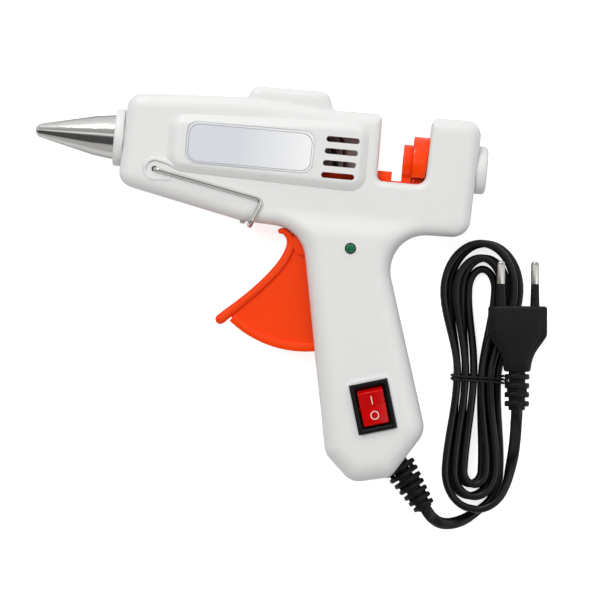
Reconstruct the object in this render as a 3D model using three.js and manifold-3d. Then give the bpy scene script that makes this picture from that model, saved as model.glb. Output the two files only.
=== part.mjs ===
// Mini hot glue gun lying on its right side, in millimetres, +Z up.
// +X runs along the barrel to the rear, +Y to the top of the gun, and the barrel's axis is Y = 0.
// The group named gun has its parting plane at Z = 0 and is lifted by half the body's thickness.
import * as THREE from "three";
import { mergeVertices } from "three/addons/utils/BufferGeometryUtils.js";
import Module from "manifold-3d";

const wasm = await Module();
wasm.setup();

// Driving sizes of the whole gun
const bodyLength = 118;
const bodyHeight = 128;
const bodyThickness = 27;
const wall = 2;
const edgeRadius = 4.5;
const clearance = 0.3;
const overrun = 6;
const weldGap = 0.0001;
const stickRadius = 3.75;

const faceHalf = bodyThickness / 2;
const frontX = -bodyLength / 2;
const rearX = bodyLength / 2;

// Finishes, each with its colour, roughness and metalness
const finishes = {
  whiteShell: ["#f1f1ef", 0.42, 0],
  orangeFeed: ["#fb4108", 0.38, 0],
  turnedMetal: ["#b9b7b2", 0.28, 1],
  castMetal: ["#a8a9aa", 0.5, 1],
  springSteel: ["#c4c2bd", 0.25, 1],
  blackRubber: ["#18191a", 0.55, 0],
  blackPlastic: ["#222628", 0.45, 0],
  redPlastic: ["#c80a08", 0.3, 0],
  greenLens: ["#0a5a24", 0.15, 0],
  labelFoil: ["#d5d9e2", 0.35, 0.4],
  siliconeRed: ["#b5574a", 0.6, 0],
  whiteCeramic: ["#e6e0d2", 0.6, 0],
  brassContact: ["#c9a24a", 0.35, 1],
  boardGreen: ["#2d6b3c", 0.6, 0],
  platedPin: ["#cfcdc8", 0.2, 1],
};

// Turns a closed geometry into a solid that can be joined and cut.
function solid(geometry) {
  const plain = geometry.clone();
  plain.deleteAttribute("normal");
  plain.deleteAttribute("uv");
  const merged = mergeVertices(plain, weldGap);
  const corners = [];
  for (let i = 0; i < merged.index.count; i += 3) {
    const [a, b, c] = merged.index.array.slice(i, i + 3);
    if (a !== b && b !== c && c !== a) corners.push(a, b, c);
  }
  return new wasm.Manifold(
    new wasm.Mesh({
      numProp: 3,
      vertProperties: merged.attributes.position.array,
      triVerts: new Uint32Array(corners),
    }),
  );
}

function joined(solids) {
  return solids.reduce((whole, next) => whole.add(next));
}

function cut(base, tools) {
  return tools.reduce((left, tool) => left.subtract(tool), base);
}

// Adds a named piece in its finish to a group.
function piece(group, name, made, finish) {
  const data = made.getMesh();
  const geometry = new THREE.BufferGeometry();
  geometry.setAttribute("position", new THREE.BufferAttribute(data.vertProperties, 3));
  geometry.setIndex(new THREE.BufferAttribute(data.triVerts, 1));
  geometry.computeVertexNormals();
  const [color, roughness, metalness] = finishes[finish];
  const mesh = new THREE.Mesh(geometry, new THREE.MeshStandardMaterial({ color, roughness, metalness }));
  mesh.name = name;
  group.add(mesh);
  return mesh;
}

// An outline with its corners rounded: each corner is [x, y, radius].
function rounded(corners, stepAngle = Math.PI / 10) {
  const points = [];
  corners.forEach(([x, y, radius], i) => {
    const here = new THREE.Vector2(x, y);
    const [beforeX, beforeY] = corners[(i + corners.length - 1) % corners.length];
    const [afterX, afterY] = corners[(i + 1) % corners.length];
    const toBefore = new THREE.Vector2(beforeX, beforeY).sub(here).normalize();
    const toAfter = new THREE.Vector2(afterX, afterY).sub(here).normalize();
    const half = Math.acos(THREE.MathUtils.clamp(toBefore.dot(toAfter), -1, 1)) / 2;
    const reach = radius / Math.tan(half);
    const middle = toBefore.clone().add(toAfter).normalize();
    const centre = here.clone().addScaledVector(middle, radius / Math.sin(half));
    const start = here.clone().addScaledVector(toBefore, reach).sub(centre);
    const turn = (Math.PI - 2 * half) * Math.sign(toAfter.cross(toBefore));
    const steps = Math.max(1, Math.ceil(Math.abs(turn) / stepAngle));
    for (let step = 0; step <= steps; step++) {
      const angle = (turn * step) / steps;
      points.push(start.clone().rotateAround(new THREE.Vector2(), angle).add(centre));
    }
  });
  return points;
}

// A straight prism of an outline from low to high along Z.
function prism(points, low, high) {
  const geometry = new THREE.ExtrudeGeometry(new THREE.Shape(points), {
    depth: high - low,
    bevelEnabled: false,
  });
  return solid(geometry.translate(0, 0, low));
}

// A plate of an outline about Z = 0, whose edges fall by rise over run, all drawn in by inset.
function soft(points, half, rise, run, inset = 0, segments = 3) {
  const geometry = new THREE.ExtrudeGeometry(new THREE.Shape(points), {
    depth: 2 * (half - rise),
    bevelThickness: rise,
    bevelSize: run,
    bevelOffset: -run - inset,
    bevelSegments: segments,
  });
  return solid(geometry.translate(0, 0, rise - half));
}

function box(lowX, highX, lowY, highY, lowZ, highZ) {
  const geometry = new THREE.BoxGeometry(highX - lowX, highY - lowY, highZ - lowZ);
  return solid(geometry.translate((lowX + highX) / 2, (lowY + highY) / 2, (lowZ + highZ) / 2));
}

// A round bar along X, Y or Z between two places on that axis.
function bar(axis, radius, low, high, across = [0, 0], sides = 20) {
  const geometry = new THREE.CylinderGeometry(radius, radius, high - low, sides);
  if (axis === "x") geometry.rotateZ(-Math.PI / 2).translate((low + high) / 2, across[0], across[1]);
  if (axis === "y") geometry.translate(across[0], (low + high) / 2, across[1]);
  if (axis === "z") geometry.rotateX(Math.PI / 2).translate(across[0], across[1], (low + high) / 2);
  return solid(geometry);
}

// A turned piece about the X axis: its half section is a list of [x, radius], front to rear outside.
function turned(section, sides = 28) {
  const points = section.map(([x, radius]) => new THREE.Vector2(radius, x));
  return solid(new THREE.LatheGeometry(points, sides).rotateZ(-Math.PI / 2));
}

// A closed skin over a row of rings with as many points each.
function skin(rings) {
  const sides = rings[0].length;
  const index = [];
  for (let ring = 0; ring + 1 < rings.length; ring++) {
    for (let side = 0; side < sides; side++) {
      const a = ring * sides + side;
      const b = ring * sides + ((side + 1) % sides);
      index.push(a, b, b + sides, a, b + sides, a + sides);
    }
  }
  const last = (rings.length - 1) * sides;
  for (let side = 1; side + 1 < sides; side++) {
    index.push(0, side + 1, side, last, last + side, last + side + 1);
  }
  const geometry = new THREE.BufferGeometry();
  const places = rings.flat().flatMap((point) => [point.x, point.y, point.z]);
  geometry.setAttribute("position", new THREE.Float32BufferAttribute(places, 3));
  geometry.setIndex(index);
  return geometry;
}

// The direction of a row of points at one of them.
function directionAt(points, i) {
  const before = points[Math.max(i - 1, 0)];
  const after = points[Math.min(i + 1, points.length - 1)];
  return after.clone().sub(before).normalize();
}

// A round wire along points, its rings turned as little as possible.
function wire(points, radius, sides = 8) {
  let across = new THREE.Vector3(0, 0, 1);
  if (Math.abs(directionAt(points, 0).z) > 0.9) across = new THREE.Vector3(1, 0, 0);
  const rings = points.map((point, i) => {
    const along = directionAt(points, i);
    across.addScaledVector(along, -across.dot(along)).normalize();
    const other = along.clone().cross(across);
    return Array.from({ length: sides }, (_, side) => {
      const angle = (2 * Math.PI * side) / sides;
      return point
        .clone()
        .addScaledVector(across, radius * Math.cos(angle))
        .addScaledVector(other, radius * Math.sin(angle));
    });
  });
  return solid(skin(rings));
}

// A path of straight runs whose bends are rounded.
function bentPath(corners, radius, steps) {
  const path = [corners[0].clone()];
  for (let i = 1; i + 1 < corners.length; i++) {
    const back = corners[i - 1].clone().sub(corners[i]);
    const on = corners[i + 1].clone().sub(corners[i]);
    const reach = Math.min(radius, back.length() / 2, on.length() / 2);
    const start = corners[i].clone().addScaledVector(back.normalize(), reach);
    const end = corners[i].clone().addScaledVector(on.normalize(), reach);
    const bend = new THREE.QuadraticBezierCurve3(start, corners[i], end);
    path.push(...bend.getPoints(steps));
  }
  path.push(corners[corners.length - 1].clone());
  return path;
}

const part = new THREE.Group();
const gun = new THREE.Group();
gun.position.z = faceHalf;
part.add(gun);

// Housing outline: corners as shares of the body's length and height, and radii of its thickness
const bodyCornerShares = [
  [-0.495, 0.117, 0.193],
  [-0.503, -0.119, 0.178],
  [-0.144, -0.187, 0.37],
  [0.025, -0.192, 0.444],
  [0.165, -0.852, 0.463],
  [0.326, -0.817, 0.185],
  [0.42, -0.699, 0.278],
  [0.247, -0.184, 0.444],
  [0.493, -0.177, 0.207],
  [0.504, 0.125, 0.181],
  [0.085, 0.1195, 0.2],
  [-0.161, 0.1336, 0.2],
];
function sized(cornerShares) {
  return cornerShares.map(([x, y, radius]) => [
    x * bodyLength,
    y * bodyHeight,
    radius * bodyThickness,
  ]);
}
const bodyOutline = rounded(sized(bodyCornerShares));

// The barrel's sides lie lower than the panel and the grip by this much
const panelRise = 2.1;
const panelRun = 2.6;
const panelCornerShares = [
  [-0.371, 0.072, 0.2],
  [-0.371, -0.076, 0.2],
  [0.2, -0.088, 0.2],
  [0.2, 0.095, 0.2],
];
const panelOutline = rounded(sized(panelCornerShares), Math.PI / 6);
const sideHalf = faceHalf - panelRise;

// The grip swells to full thickness below this line
const gripEdge = 6.4;
const gripRun = 8;
const gripZoneShares = [
  [-0.1, -0.145, 0.5],
  [-0.1, -1, 0.5],
  [0.6, -1, 0.5],
  [0.6, -0.145, 0.5],
];
const gripZone = rounded(sized(gripZoneShares), Math.PI / 6);
const roundShare = 1.15;
const gripOutline = rounded(
  sized(bodyCornerShares).map(([x, y, radius]) => [x, y, Math.max(radius, gripEdge * roundShare)]),
);

// The ridge on top of the barrel
const ridgeHalf = 9;
const ridgeEdge = 3;
const ridgeCornerShares = [
  [-0.155, 0.164, 0.13],
  [-0.165, 0.06, 0.13],
  [0.106, 0.06, 0.13],
  [0.065, 0.1655, 0.13],
];
const ridgeOutline = rounded(sized(ridgeCornerShares), Math.PI / 5);

// The solid form of both shells together, drawn in by inset on every side.
function bodyForm(inset) {
  const edge = edgeRadius - inset;
  const barrel = soft(bodyOutline, sideHalf - inset, edge, edge, inset);
  const thick = soft(gripOutline, faceHalf - inset, gripEdge - inset, gripEdge - inset, inset);
  const grip = thick.intersect(soft(gripZone, faceHalf - inset, panelRise * 1.2, gripRun, inset));
  const panel = soft(panelOutline, faceHalf - inset, panelRise, panelRun, inset);
  const ridgeFall = ridgeEdge - inset;
  const ridge = soft(ridgeOutline, ridgeHalf - inset, ridgeFall, ridgeFall, inset, 2);
  return joined([barrel, grip, panel, ridge]);
}

// Rear window, open from side to side and at the top, where the feed is seen
const rearBlockLength = 16.8;
const windowLength = 16;
const windowFloorY = -6.8;
const windowRearX = rearX - rearBlockLength;
const windowFrontX = windowRearX - windowLength;
const windowCorner = 2;
const windowTopY = bodyHeight / 4;
const windowCut = prism(
  rounded([
    [windowFrontX, windowFloorY, windowCorner],
    [windowRearX, windowFloorY, windowCorner * 1.6],
    [windowRearX + wall / 2, windowTopY, windowCorner],
    [windowFrontX, windowTopY, windowCorner],
  ]),
  -faceHalf - overrun,
  faceHalf + overrun,
);

// Trigger pivot and travel; the trigger swings towards the grip by triggerTravel
const pivotX = 0.039 * bodyLength;
const pivotY = -0.2273 * bodyHeight;
const triggerTravel = THREE.MathUtils.degToRad(24);
const sectorRadius = 36.5;
const beadHalf = 6;
const armLength = 19;
const armTipRadius = 1.5;
const strokeLength = 2 * armLength * Math.sin(triggerTravel / 2);

// Points on a circle about the trigger's pivot, from one angle in degrees to another.
function pivotArc(radius, from, to, steps) {
  return Array.from({ length: steps + 1 }, (_, i) => {
    const angle = THREE.MathUtils.degToRad(from + ((to - from) * i) / steps);
    return new THREE.Vector2(radius * Math.cos(angle), radius * Math.sin(angle));
  });
}
function sectorCut(radius, from, to, steps) {
  const points = [new THREE.Vector2(), ...pivotArc(radius, from, to, steps)];
  const half = beadHalf + clearance;
  return prism(points, -half, half).translate([pivotX, pivotY, 0]);
}
const hubRadius = 4.6;
const hubHalf = beadHalf - clearance;
const armSwing = 4 * clearance;
const faceSide = 183;
const gripSideAngle = 302;
const bellySide = 146;
const triggerPassage = [
  sectorCut(sectorRadius + 2 * clearance, faceSide, gripSideAngle, 16),
  sectorCut(sectorRadius / 3, bellySide, faceSide + 7, 6),
  bar("z", hubRadius + armSwing, -beadHalf - clearance, beadHalf + clearance, [pivotX, pivotY], 24),
];

// Screws, put in from the right: bosses at these shares of the body's length and height
const bossShares = [
  [-0.453, -0.084],
  [-0.237, -0.117],
  [0.178, 0.083],
  [0.44, -0.117],
  [0.292, -0.445],
  [0.203, -0.773],
];
const bosses = bossShares.map(([x, y]) => [x * bodyLength, y * bodyHeight]);
const bossRadius = 3.4;
const screwRadius = 1.3;
const screwHeadRadius = 2.3;
const screwHeadHeight = 1.6;
const screwSink = 3;
const screwReach = 6;

// Lines of the barrel's fittings
const chamberRadius = 6.4;
const mouthRadius = 8.4;
const bushRadius = 5.6;
const ribHalfWidth = 1;
const feedHalf = 5.6;

// A rib plate across the inside of both shells, centred on x.
function ribPlate(form, x, lowY, highY) {
  return form.intersect(box(x - ribHalfWidth, x + ribHalfWidth, lowY, highY, -faceHalf, faceHalf));
}
const cradleFrontX = frontX + 0.12 * bodyLength;
const cradleRearX = frontX + 0.33 * bodyLength;
const baseline = -bodyHeight;
const feedFloorY = windowFloorY - wall - clearance;

// Lamp and switch places on the grip's left face
const lampX = 0.165 * bodyLength;
const lampY = -0.2345 * bodyHeight;
const lampRadius = 1.6;
const switchX = 0.268 * bodyLength;
const switchY = -0.6363 * bodyHeight;
const switchTilt = THREE.MathUtils.degToRad(16.7);
const bezelWidth = 13;
const bezelLength = 16.8;
const bezelRise = 1.4;
const switchBodyWidth = 10.6;
const switchBodyLength = 14.4;
const switchDepth = 12;

// A box in the switch's own turned frame, at its place on the grip.
function switchBox(width, length, lowZ, highZ) {
  return box(-width / 2, width / 2, -length / 2, length / 2, lowZ, highZ)
    .rotate([0, 0, THREE.MathUtils.radToDeg(switchTilt)])
    .translate([switchX, switchY, 0]);
}

// Vents beside the feed
const ventCount = 4;
const ventPitch = 4;
const ventLength = 10.6;
const ventWidth = 1.8;
const ventX = 0.119 * bodyLength;
const ventTopY = 0.046 * bodyHeight;
const ventSlantShare = 0.06;
const ventCuts = Array.from({ length: ventCount }, (_, i) => {
  const y = ventTopY - i * ventPitch;
  const x = ventX - i * ventPitch * ventSlantShare;
  const half = ventLength / 2;
  const radius = ventWidth / 2;
  const corners = [
    [x - half, y - radius, radius * 0.99],
    [x + half, y - radius, radius * 0.99],
    [x + half, y + radius, radius * 0.99],
    [x - half, y + radius, radius * 0.99],
  ];
  return prism(rounded(corners, Math.PI / 6), faceHalf - wall * 1.5, faceHalf + overrun);
});

// Label recess in the side panel
const labelLength = 42;
const labelWidth = 13.7;
const labelCorner = 3.5;
const labelDepth = 0.5;
const labelX = -0.141 * bodyLength;
const labelY = 0.002 * bodyHeight;
function labelOutline(gap) {
  const halfLength = labelLength / 2 + gap;
  const halfWidth = labelWidth / 2 + gap;
  return rounded([
    [labelX - halfLength, labelY - halfWidth, labelCorner],
    [labelX + halfLength, labelY - halfWidth, labelCorner],
    [labelX + halfLength, labelY + halfWidth, labelCorner],
    [labelX - halfLength, labelY + halfWidth, labelCorner],
  ]);
}

// Wire stand, hooked into both sides at standX, standY
const standWire = 0.7;
const standX = -0.4025 * bodyLength;
const standY = -0.075 * bodyHeight;
const standBendX = -0.093 * bodyLength;
const standBendY = -0.129 * bodyHeight;
const standFootX = -0.1245 * bodyLength;
const standFootY = -0.1969 * bodyHeight;
const standHalf = faceHalf - standWire - clearance / 3;
const standHookHalf = sideHalf - 1.5 * wall;
const lugRadius = 3.7;
const lugWall = 1.3;

// The raised lug round the stand's hook: full height in front and above, low below.
function standLug(side) {
  const outer = lugRadius;
  const inner = lugRadius - lugWall;
  const low = side * (sideHalf - wall);
  const high = side * (faceHalf - clearance);
  const lowRim = side * (standHalf - standWire - clearance);
  const disc = (radius, top) => {
    const [a, b] = [Math.min(low, top), Math.max(low, top)];
    return bar("z", radius, a, b, [standX, standY], 20);
  };
  const reach = lugRadius * 2;
  const above = box(standX - reach, standX + lugRadius / 2, standY + standWire, standY + reach, -faceHalf, faceHalf);
  const ring = cut(disc(outer, high), [disc(inner, high + side * overrun)]);
  const rim = cut(disc(outer, lowRim), [disc(inner, lowRim + side * overrun)]);
  return joined([ring.intersect(above), rim]);
}

// Catch nub under the barrel, in front of the stand's foot
const catchX = standFootX - 2.4;
const catchLength = 1.8;
const catchDrop = 0.9;
const catchHalf = 4;
const bellyY = -0.1865 * bodyHeight;
const standCatch = box(
  catchX - catchLength / 2,
  catchX + catchLength / 2,
  bellyY - catchDrop,
  bellyY + wall,
  -catchHalf,
  catchHalf,
);

// Cord exit on the slanted heel: the strain relief's axis
const reliefX = 0.3555 * bodyLength;
const reliefY = -0.7836 * bodyHeight;
const reliefAngle = THREE.MathUtils.degToRad(-52.6);
const reliefNeckRadius = 3.6;
const reliefRootRadius = 5;
const reliefTipRadius = 3.45;
const reliefLength = 18;
const reliefRibs = 6;
const reliefFlange = 5.2;

// Puts a solid made along +X from zero onto the strain relief's axis.
function onReliefAxis(made) {
  return made
    .rotate([0, 0, THREE.MathUtils.radToDeg(reliefAngle)])
    .translate([reliefX, reliefY, 0]);
}

// Both shells as one hollow body with its ribs, bosses and cuts, before it is parted
const outerForm = bodyForm(0);
const ribs = [
  cut(ribPlate(outerForm, cradleFrontX, baseline, wall), [
    bar("x", chamberRadius + clearance, frontX, rearX, [0, 0], 24),
  ]),
  cut(ribPlate(outerForm, cradleRearX, baseline, wall), [
    bar("x", chamberRadius + clearance, frontX, rearX, [0, 0], 24),
  ]),
  ribPlate(outerForm, windowFrontX - ribHalfWidth, windowFloorY - 3 * wall, bodyHeight),
  ribPlate(outerForm, windowRearX + ribHalfWidth, windowFloorY - 3 * wall, bodyHeight),
];
const feedPassage = box(
  windowFrontX - 3 * wall,
  windowRearX + clearance,
  feedFloorY,
  windowFloorY + 2 * wall + clearance,
  -feedHalf - clearance,
  feedHalf + clearance,
);
const stickPassage = bar("x", stickRadius + 3 * clearance, cradleRearX, rearX + overrun, [0, 0], 24);
const stepPassage = bar("x", stickRadius + 3, windowFrontX - 3 * wall, windowRearX, [0, 0], 24);
const bushPassage = bar("x", bushRadius + clearance, windowRearX + wall, rearX + overrun, [0, 0], 24);
const mouthPassage = bar("x", mouthRadius + clearance, frontX - overrun, frontX + 2 * wall, [0, 0], 28);
const chamberPassage = bar("x", chamberRadius + clearance, frontX, cradleRearX, [0, 0], 24);
const bossBars = bosses.map((place) =>
  outerForm.intersect(bar("z", bossRadius, -faceHalf - overrun, faceHalf + overrun, place, 16)),
);
const reliefHole = onReliefAxis(
  bar("x", reliefNeckRadius + clearance, -3 * wall, overrun, [0, 0], 20),
);
const reliefSeat = onReliefAxis(
  bar("x", reliefFlange + clearance, -4 * wall, -wall - clearance, [0, 0], 20),
);
const reliefSpotface = onReliefAxis(
  bar("x", reliefRootRadius + clearance, clearance, overrun, [0, 0], 20),
);
const standHoles = [-1, 1].map((side) => {
  const ends = [side * (standHookHalf - clearance), side * (faceHalf + overrun)];
  return bar("z", standWire + clearance, Math.min(...ends), Math.max(...ends), [standX, standY], 12);
});
const hollow = cut(outerForm, [bodyForm(wall)]);
const lugs = joined([standLug(1), standLug(-1), standCatch]);
const ribbed = joined([hollow, ...ribs, ...bossBars, lugs]);
const opened = cut(ribbed, [
  windowCut,
  feedPassage,
  stickPassage,
  stepPassage,
  bushPassage,
  mouthPassage,
  chamberPassage,
  reliefHole,
  reliefSeat,
  reliefSpotface,
  ...standHoles,
  ...triggerPassage,
]);

// The pivot post stands on the right shell and ends in a socket ring on the left shell
const postRadius = 2;
const postTop = hubHalf + 2 * wall;
const pivotPlace = [pivotX, pivotY];
const pivotPost = joined([
  bar("z", postRadius, -faceHalf + wall / 2, postTop, pivotPlace, 16),
  bar("z", hubRadius, -faceHalf + wall / 2, -hubHalf - clearance, pivotPlace, 16),
]);
const pivotSocket = bar("z", hubRadius, hubHalf + clearance, faceHalf - wall / 2, pivotPlace, 16);
const socketBore = bar("z", postRadius + clearance, 0, postTop + clearance, pivotPlace, 16);

// Post on the right shell that holds the return spring's far end
const springPostX = 0.254 * bodyLength;
const springPostY = -0.367 * bodyHeight;
const springPostRadius = 1.5;
const springAnchor = bar(
  "z",
  springPostRadius,
  -faceHalf + wall / 2,
  2 * springPostRadius,
  [springPostX, springPostY],
  12,
);

// Pilot holes for the screws' shanks and sunk seats for their heads
const partingGap = clearance / 2;
function sideFaceAt(y) {
  return y < pivotY ? faceHalf : sideHalf;
}
const screwSeats = bosses.map(([x, y]) => -sideFaceAt(y) + screwSink);
const shankHoles = bosses.map((place, i) =>
  bar("z", screwRadius + clearance, screwSeats[i] - clearance, screwReach + clearance, place, 12),
);
const headHoles = bosses.map((place, i) =>
  bar("z", screwHeadRadius + clearance, -faceHalf - overrun, screwSeats[i], place, 16),
);

// Which half space a shell fills
const span = bodyHeight + bodyLength;
const leftSpace = box(-span, span, -span, span, partingGap, span);
const rightSpace = box(-span, span, -span, span, -span, -partingGap);

// The light rib that is seen behind the vents
const ventRib = box(
  ventX - ribHalfWidth,
  ventX + ribHalfWidth,
  ventTopY - ventCount * ventPitch,
  ventTopY + ventPitch / 2,
  faceHalf - 2 * wall,
  faceHalf - wall + clearance / 2,
);
const lampHole = bar("z", lampRadius + clearance, 0, faceHalf + overrun, [lampX, lampY], 16);
const switchHole = switchBox(
  switchBodyWidth + 2 * clearance,
  switchBodyLength + 2 * clearance,
  0,
  faceHalf + overrun,
);
const labelRecess = prism(labelOutline(clearance), faceHalf - labelDepth, faceHalf + overrun);
const leftShell = cut(joined([opened.intersect(leftSpace), pivotSocket]), [
  socketBore,
  ...shankHoles,
  ...ventCuts,
  lampHole,
  switchHole,
  labelRecess,
]).add(ventRib);
const rightShell = cut(joined([opened.intersect(rightSpace), pivotPost, springAnchor]), [
  ...shankHoles,
  ...headHoles,
]);
piece(gun, "housing_left", leftShell, "whiteShell");
piece(gun, "housing_right", rightShell, "whiteShell");

// Label plate, bare
const labelPlateDepth = labelDepth - clearance / 2;
piece(
  gun,
  "label_plate",
  prism(labelOutline(0), faceHalf - labelPlateDepth + clearance / 2, faceHalf),
  "labelFoil",
);

// Screws, all alike
bosses.forEach((place, i) => {
  const seat = screwSeats[i] - clearance;
  const head = bar("z", screwHeadRadius, seat - screwHeadHeight, seat, place, 16);
  const shank = bar("z", screwRadius, seat - screwHeadHeight / 2, screwReach, place, 12);
  piece(gun, `housing_screw_${i + 1}`, head.add(shank), "springSteel");
});

// Nozzle: a turned cone with a stepped bore
const nozzleLength = 28.5;
const nozzleBaseRadius = 7.3;
const nozzleTipRadius = 1.8;
const nozzleBoreRadius = 0.8;
const nozzleBaseX = frontX - 1;
const nozzleTipX = nozzleBaseX - nozzleLength;
const nozzleStraightShare = 0.09;
const nozzleMidShare = 0.38;
const nozzleMidRadius = 0.9 * nozzleBaseRadius;
const socketRadius = 4.5;
const socketDepth = 6;
const coneX = nozzleBaseX - nozzleStraightShare * nozzleLength;
const midX = nozzleBaseX - nozzleMidShare * nozzleLength;
const tipRound = nozzleTipRadius - nozzleBoreRadius;
const nozzleSection = [
  [nozzleTipX, nozzleBoreRadius],
  [nozzleTipX, nozzleTipRadius - tipRound / 2],
  [nozzleTipX + tipRound / 2, nozzleTipRadius],
  [nozzleTipX + tipRound, nozzleTipRadius + tipRound / 2],
  [midX, nozzleMidRadius],
  [coneX, nozzleBaseRadius],
  [nozzleBaseX, nozzleBaseRadius],
  [nozzleBaseX, socketRadius],
  [nozzleBaseX - socketDepth, socketRadius],
  [nozzleBaseX - socketDepth - socketRadius, nozzleBoreRadius * 2],
  [nozzleTipX + socketDepth, nozzleBoreRadius],
  [nozzleTipX, nozzleBoreRadius],
];
piece(gun, "nozzle", turned(nozzleSection, 36), "turnedMetal");

// Front collar: a ring whose neck sits in the housing's mouth
const collarRadius = 9.5;
const collarFrontX = nozzleBaseX - 2;
const collarSeatX = frontX - clearance - wall / 5;
const collarRearX = frontX + 1.5 * wall;
const collarBore = nozzleBaseRadius + clearance;
const collarEdge = 0.6;
piece(
  gun,
  "front_collar",
  turned(
    [
      [collarFrontX, collarBore],
      [collarFrontX, collarRadius - collarEdge],
      [collarFrontX + collarEdge, collarRadius],
      [collarSeatX, collarRadius],
      [collarSeatX, mouthRadius],
      [collarRearX, mouthRadius],
      [collarRearX, collarBore],
      [collarFrontX, collarBore],
    ],
    36,
  ),
  "whiteShell",
);

// Melt chamber: a cast tube with a spigot in the nozzle and a heater pocket on top
const chamberFrontX = nozzleBaseX + clearance;
const chamberRearX = cradleRearX - ribHalfWidth - clearance;
const spigotRadius = socketRadius - clearance;
const spigotFrontX = nozzleBaseX - socketDepth + clearance;
const chamberBore = stickRadius + 0.25;
const chamberThroat = 2 * nozzleBoreRadius;
const chamberTube = turned([
  [spigotFrontX, chamberThroat],
  [spigotFrontX, spigotRadius],
  [chamberFrontX, spigotRadius],
  [chamberFrontX, chamberRadius],
  [chamberRearX, chamberRadius],
  [chamberRearX, chamberBore],
  [chamberFrontX + 2 * chamberRadius, chamberBore],
  [spigotFrontX, chamberThroat],
]);
const heaterLength = 20;
const heaterWidth = 9;
const heaterHeight = 2.6;
const pocketWall = 1.1;
const pocketRearX = chamberRearX - chamberRadius / 2;
const pocketLowY = chamberRadius + pocketWall;
const pocketHighY = pocketLowY + heaterHeight + 2 * clearance;
const pocketHalf = heaterWidth / 2 + clearance;
const chamberBlock = box(
  pocketRearX - heaterLength - pocketWall,
  pocketRearX,
  chamberBore + pocketWall,
  pocketHighY + pocketWall,
  -pocketHalf - pocketWall,
  pocketHalf + pocketWall,
);
const heaterPocket = box(
  pocketRearX - heaterLength - clearance,
  pocketRearX + overrun,
  pocketLowY,
  pocketHighY,
  -pocketHalf,
  pocketHalf,
);
const chamberHollow = bar("x", chamberBore, chamberFrontX + 2 * chamberRadius, rearX, [0, 0], 28);
piece(
  gun,
  "melt_chamber",
  cut(chamberTube.add(chamberBlock), [heaterPocket, chamberHollow]),
  "castMetal",
);

// Heater: a ceramic tablet between two contact strips, slid into the pocket
const stripHeight = 0.5;
const heaterLowY = pocketLowY + clearance;
const heaterRearX = pocketRearX - clearance;
const heaterTab = 4;
const tablet = box(
  heaterRearX - heaterLength + clearance,
  heaterRearX,
  heaterLowY + stripHeight / 2,
  heaterLowY + heaterHeight - stripHeight / 2,
  -heaterWidth / 2,
  heaterWidth / 2,
);
const strips = [0, heaterHeight - stripHeight].map((lift, i) => {
  const aside = (i * 2 - 1) * (heaterWidth / 4);
  return box(
    heaterRearX - heaterLength + 2 * clearance,
    heaterRearX + heaterTab,
    heaterLowY + lift,
    heaterLowY + lift + stripHeight,
    aside - heaterWidth / 6,
    aside + heaterWidth / 6,
  );
});
piece(gun, "ptc_heater", joined([tablet, ...strips]), "whiteCeramic");

// Heater clip: a spring strip bent over the pocket and down both sides of the chamber
const clipThickness = 0.5;
const clipLength = 9;
const clipInner = chamberRadius + clearance;
const clipTop = pocketHighY + pocketWall + clearance;
const clipFoot = -0.5 * chamberRadius;
const clipX = pocketRearX - heaterLength / 2;
const clipOuterBox = box(
  clipX - clipLength / 2,
  clipX + clipLength / 2,
  clipFoot,
  clipTop + clipThickness,
  -clipInner - clipThickness,
  clipInner + clipThickness,
);
const clipInnerBox = box(clipX - clipLength, clipX + clipLength, clipFoot - overrun, clipTop, -clipInner, clipInner);
piece(gun, "heater_clip", clipOuterBox.subtract(clipInnerBox), "springSteel");

// Inlet sleeve: a silicone tube that leads the stick into the chamber
const sleeveRadius = chamberRadius - clearance;
const sleeveFrontX = chamberRearX + clearance;
const sleeveLength = 14;
const sleeveRearX = sleeveFrontX + sleeveLength;
const sleeveMouth = 1.2;
piece(
  gun,
  "inlet_sleeve",
  turned([
    [sleeveFrontX, chamberBore],
    [sleeveFrontX, sleeveRadius],
    [sleeveRearX, sleeveRadius],
    [sleeveRearX, chamberBore + sleeveMouth],
    [sleeveRearX - sleeveMouth, chamberBore],
    [sleeveFrontX, chamberBore],
  ]),
  "siliconeRed",
);

// Rear guide bush: a flanged tube through the rear wall that the stick goes in through
const bushFlangeRadius = 8;
const bushFlangeLength = 3.2;
const bushBore = stickRadius + 0.35;
const bushSeatX = rearX + wall / 4;
const bushFrontX = windowRearX + wall + clearance;
const bushEdge = 0.8;
piece(
  gun,
  "rear_guide_bush",
  turned(
    [
      [bushFrontX, bushBore],
      [bushFrontX, bushRadius],
      [bushSeatX, bushRadius],
      [bushSeatX, bushFlangeRadius],
      [bushSeatX + bushFlangeLength - bushEdge, bushFlangeRadius],
      [bushSeatX + bushFlangeLength, bushFlangeRadius - bushEdge],
      [bushSeatX + bushFlangeLength, bushBore + bushEdge],
      [bushSeatX + bushFlangeLength - bushEdge, bushBore],
      [bushFrontX, bushBore],
    ],
    32,
  ),
  "whiteShell",
);

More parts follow.
